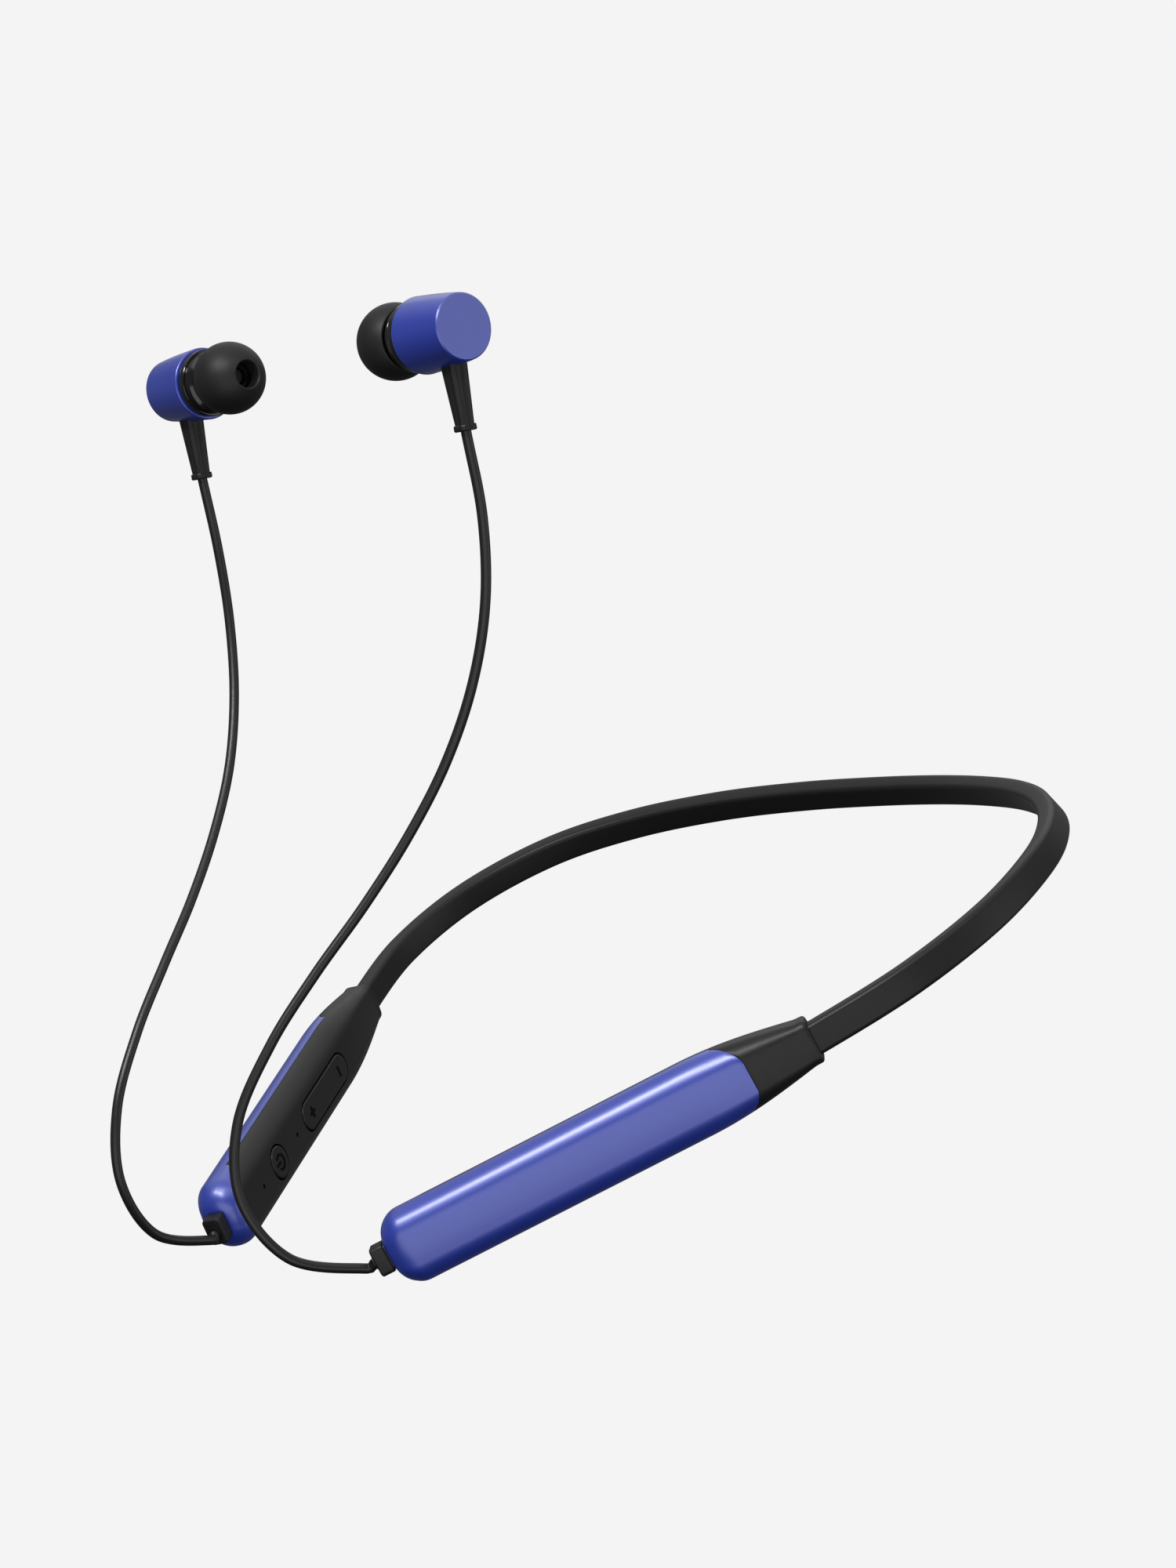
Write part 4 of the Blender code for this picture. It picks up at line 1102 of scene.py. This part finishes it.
def plus_outline(half_length, half_width):
    """A cross, counter-clockwise."""
    a, b = half_length, half_width
    quarter = [(a, -b), (a, b), (b, b)]
    return [p for turn in range(4) for p in [turned(q, turn) for q in quarter]]


def turned(point, quarters):
    x, y = point
    for _ in range(quarters):
        x, y = -y, x
    return x, y


def power_outline(radius, width, opening):
    """A ring's outline with an opening of so many degrees about +X."""
    start, stop = opening / 2, 360 - opening / 2
    return arc(0, 0, radius, start, stop, 28) + arc(0, 0, radius - width, stop, start, 28)


def make_glyphs(finishes):
    """Raised marks on the caps: a plus, a minus and a ring with a bar."""
    base = POD_THICK / 2 + POD_CROWN + CAP_PROUD
    low, high = -(base + MARK_PROUD), -(base - MARK_SUNK)
    bar_length, bar_width = MARK_HALF
    marks = (
        ("volume_button_plus", "volume_rocker", ROCKER_AT + MARK_AT, plus_outline(bar_length, bar_width)),
        ("volume_button_minus", "volume_rocker", ROCKER_AT - MARK_AT, bar_outline(bar_width, bar_length)),
        ("play_button_ring", "multifunction_button", BUTTON_AT, power_outline(*POWER_RING)),
        ("play_button_bar", "multifunction_button", BUTTON_AT + POWER_BAR_AT, bar_outline(*POWER_BAR_HALF)),
    )
    for name, body, x, outline in marks:
        placed = [(x + a, b) for a, b in outline]
        piece(name, prism(placed, low, high), POD["right"], finishes["mark_black"], body)


def finish_kept_nodes(finishes):
    """Procedural finishes on the CAD nodes that are shown as they are."""
    for subpart in frame["record"]["subparts"]:
        node = frame["nodes"][subpart["node"]]
        made = "dark_mesh" if "nozzle_mesh" in subpart["node"] else subpart["material_slot"]
        node.data.materials.clear()
        node.data.materials.append(finishes[made])


def make_all():
    finishes = make_finishes()
    make_camera()
    for side in SIDES:
        make_cord(side, finishes)
    make_studio()
    make_floor()
    pods = {}
    for side in SIDES:
        make_band(side, finishes)
        pods[side] = make_pod(side, finishes)
        make_bud(side, finishes)
    shell, cover = pods["right"]
    cut_port(shell)
    make_controls(finishes, cover)
    make_glyphs(finishes)
    finish_kept_nodes(finishes)


make_all()
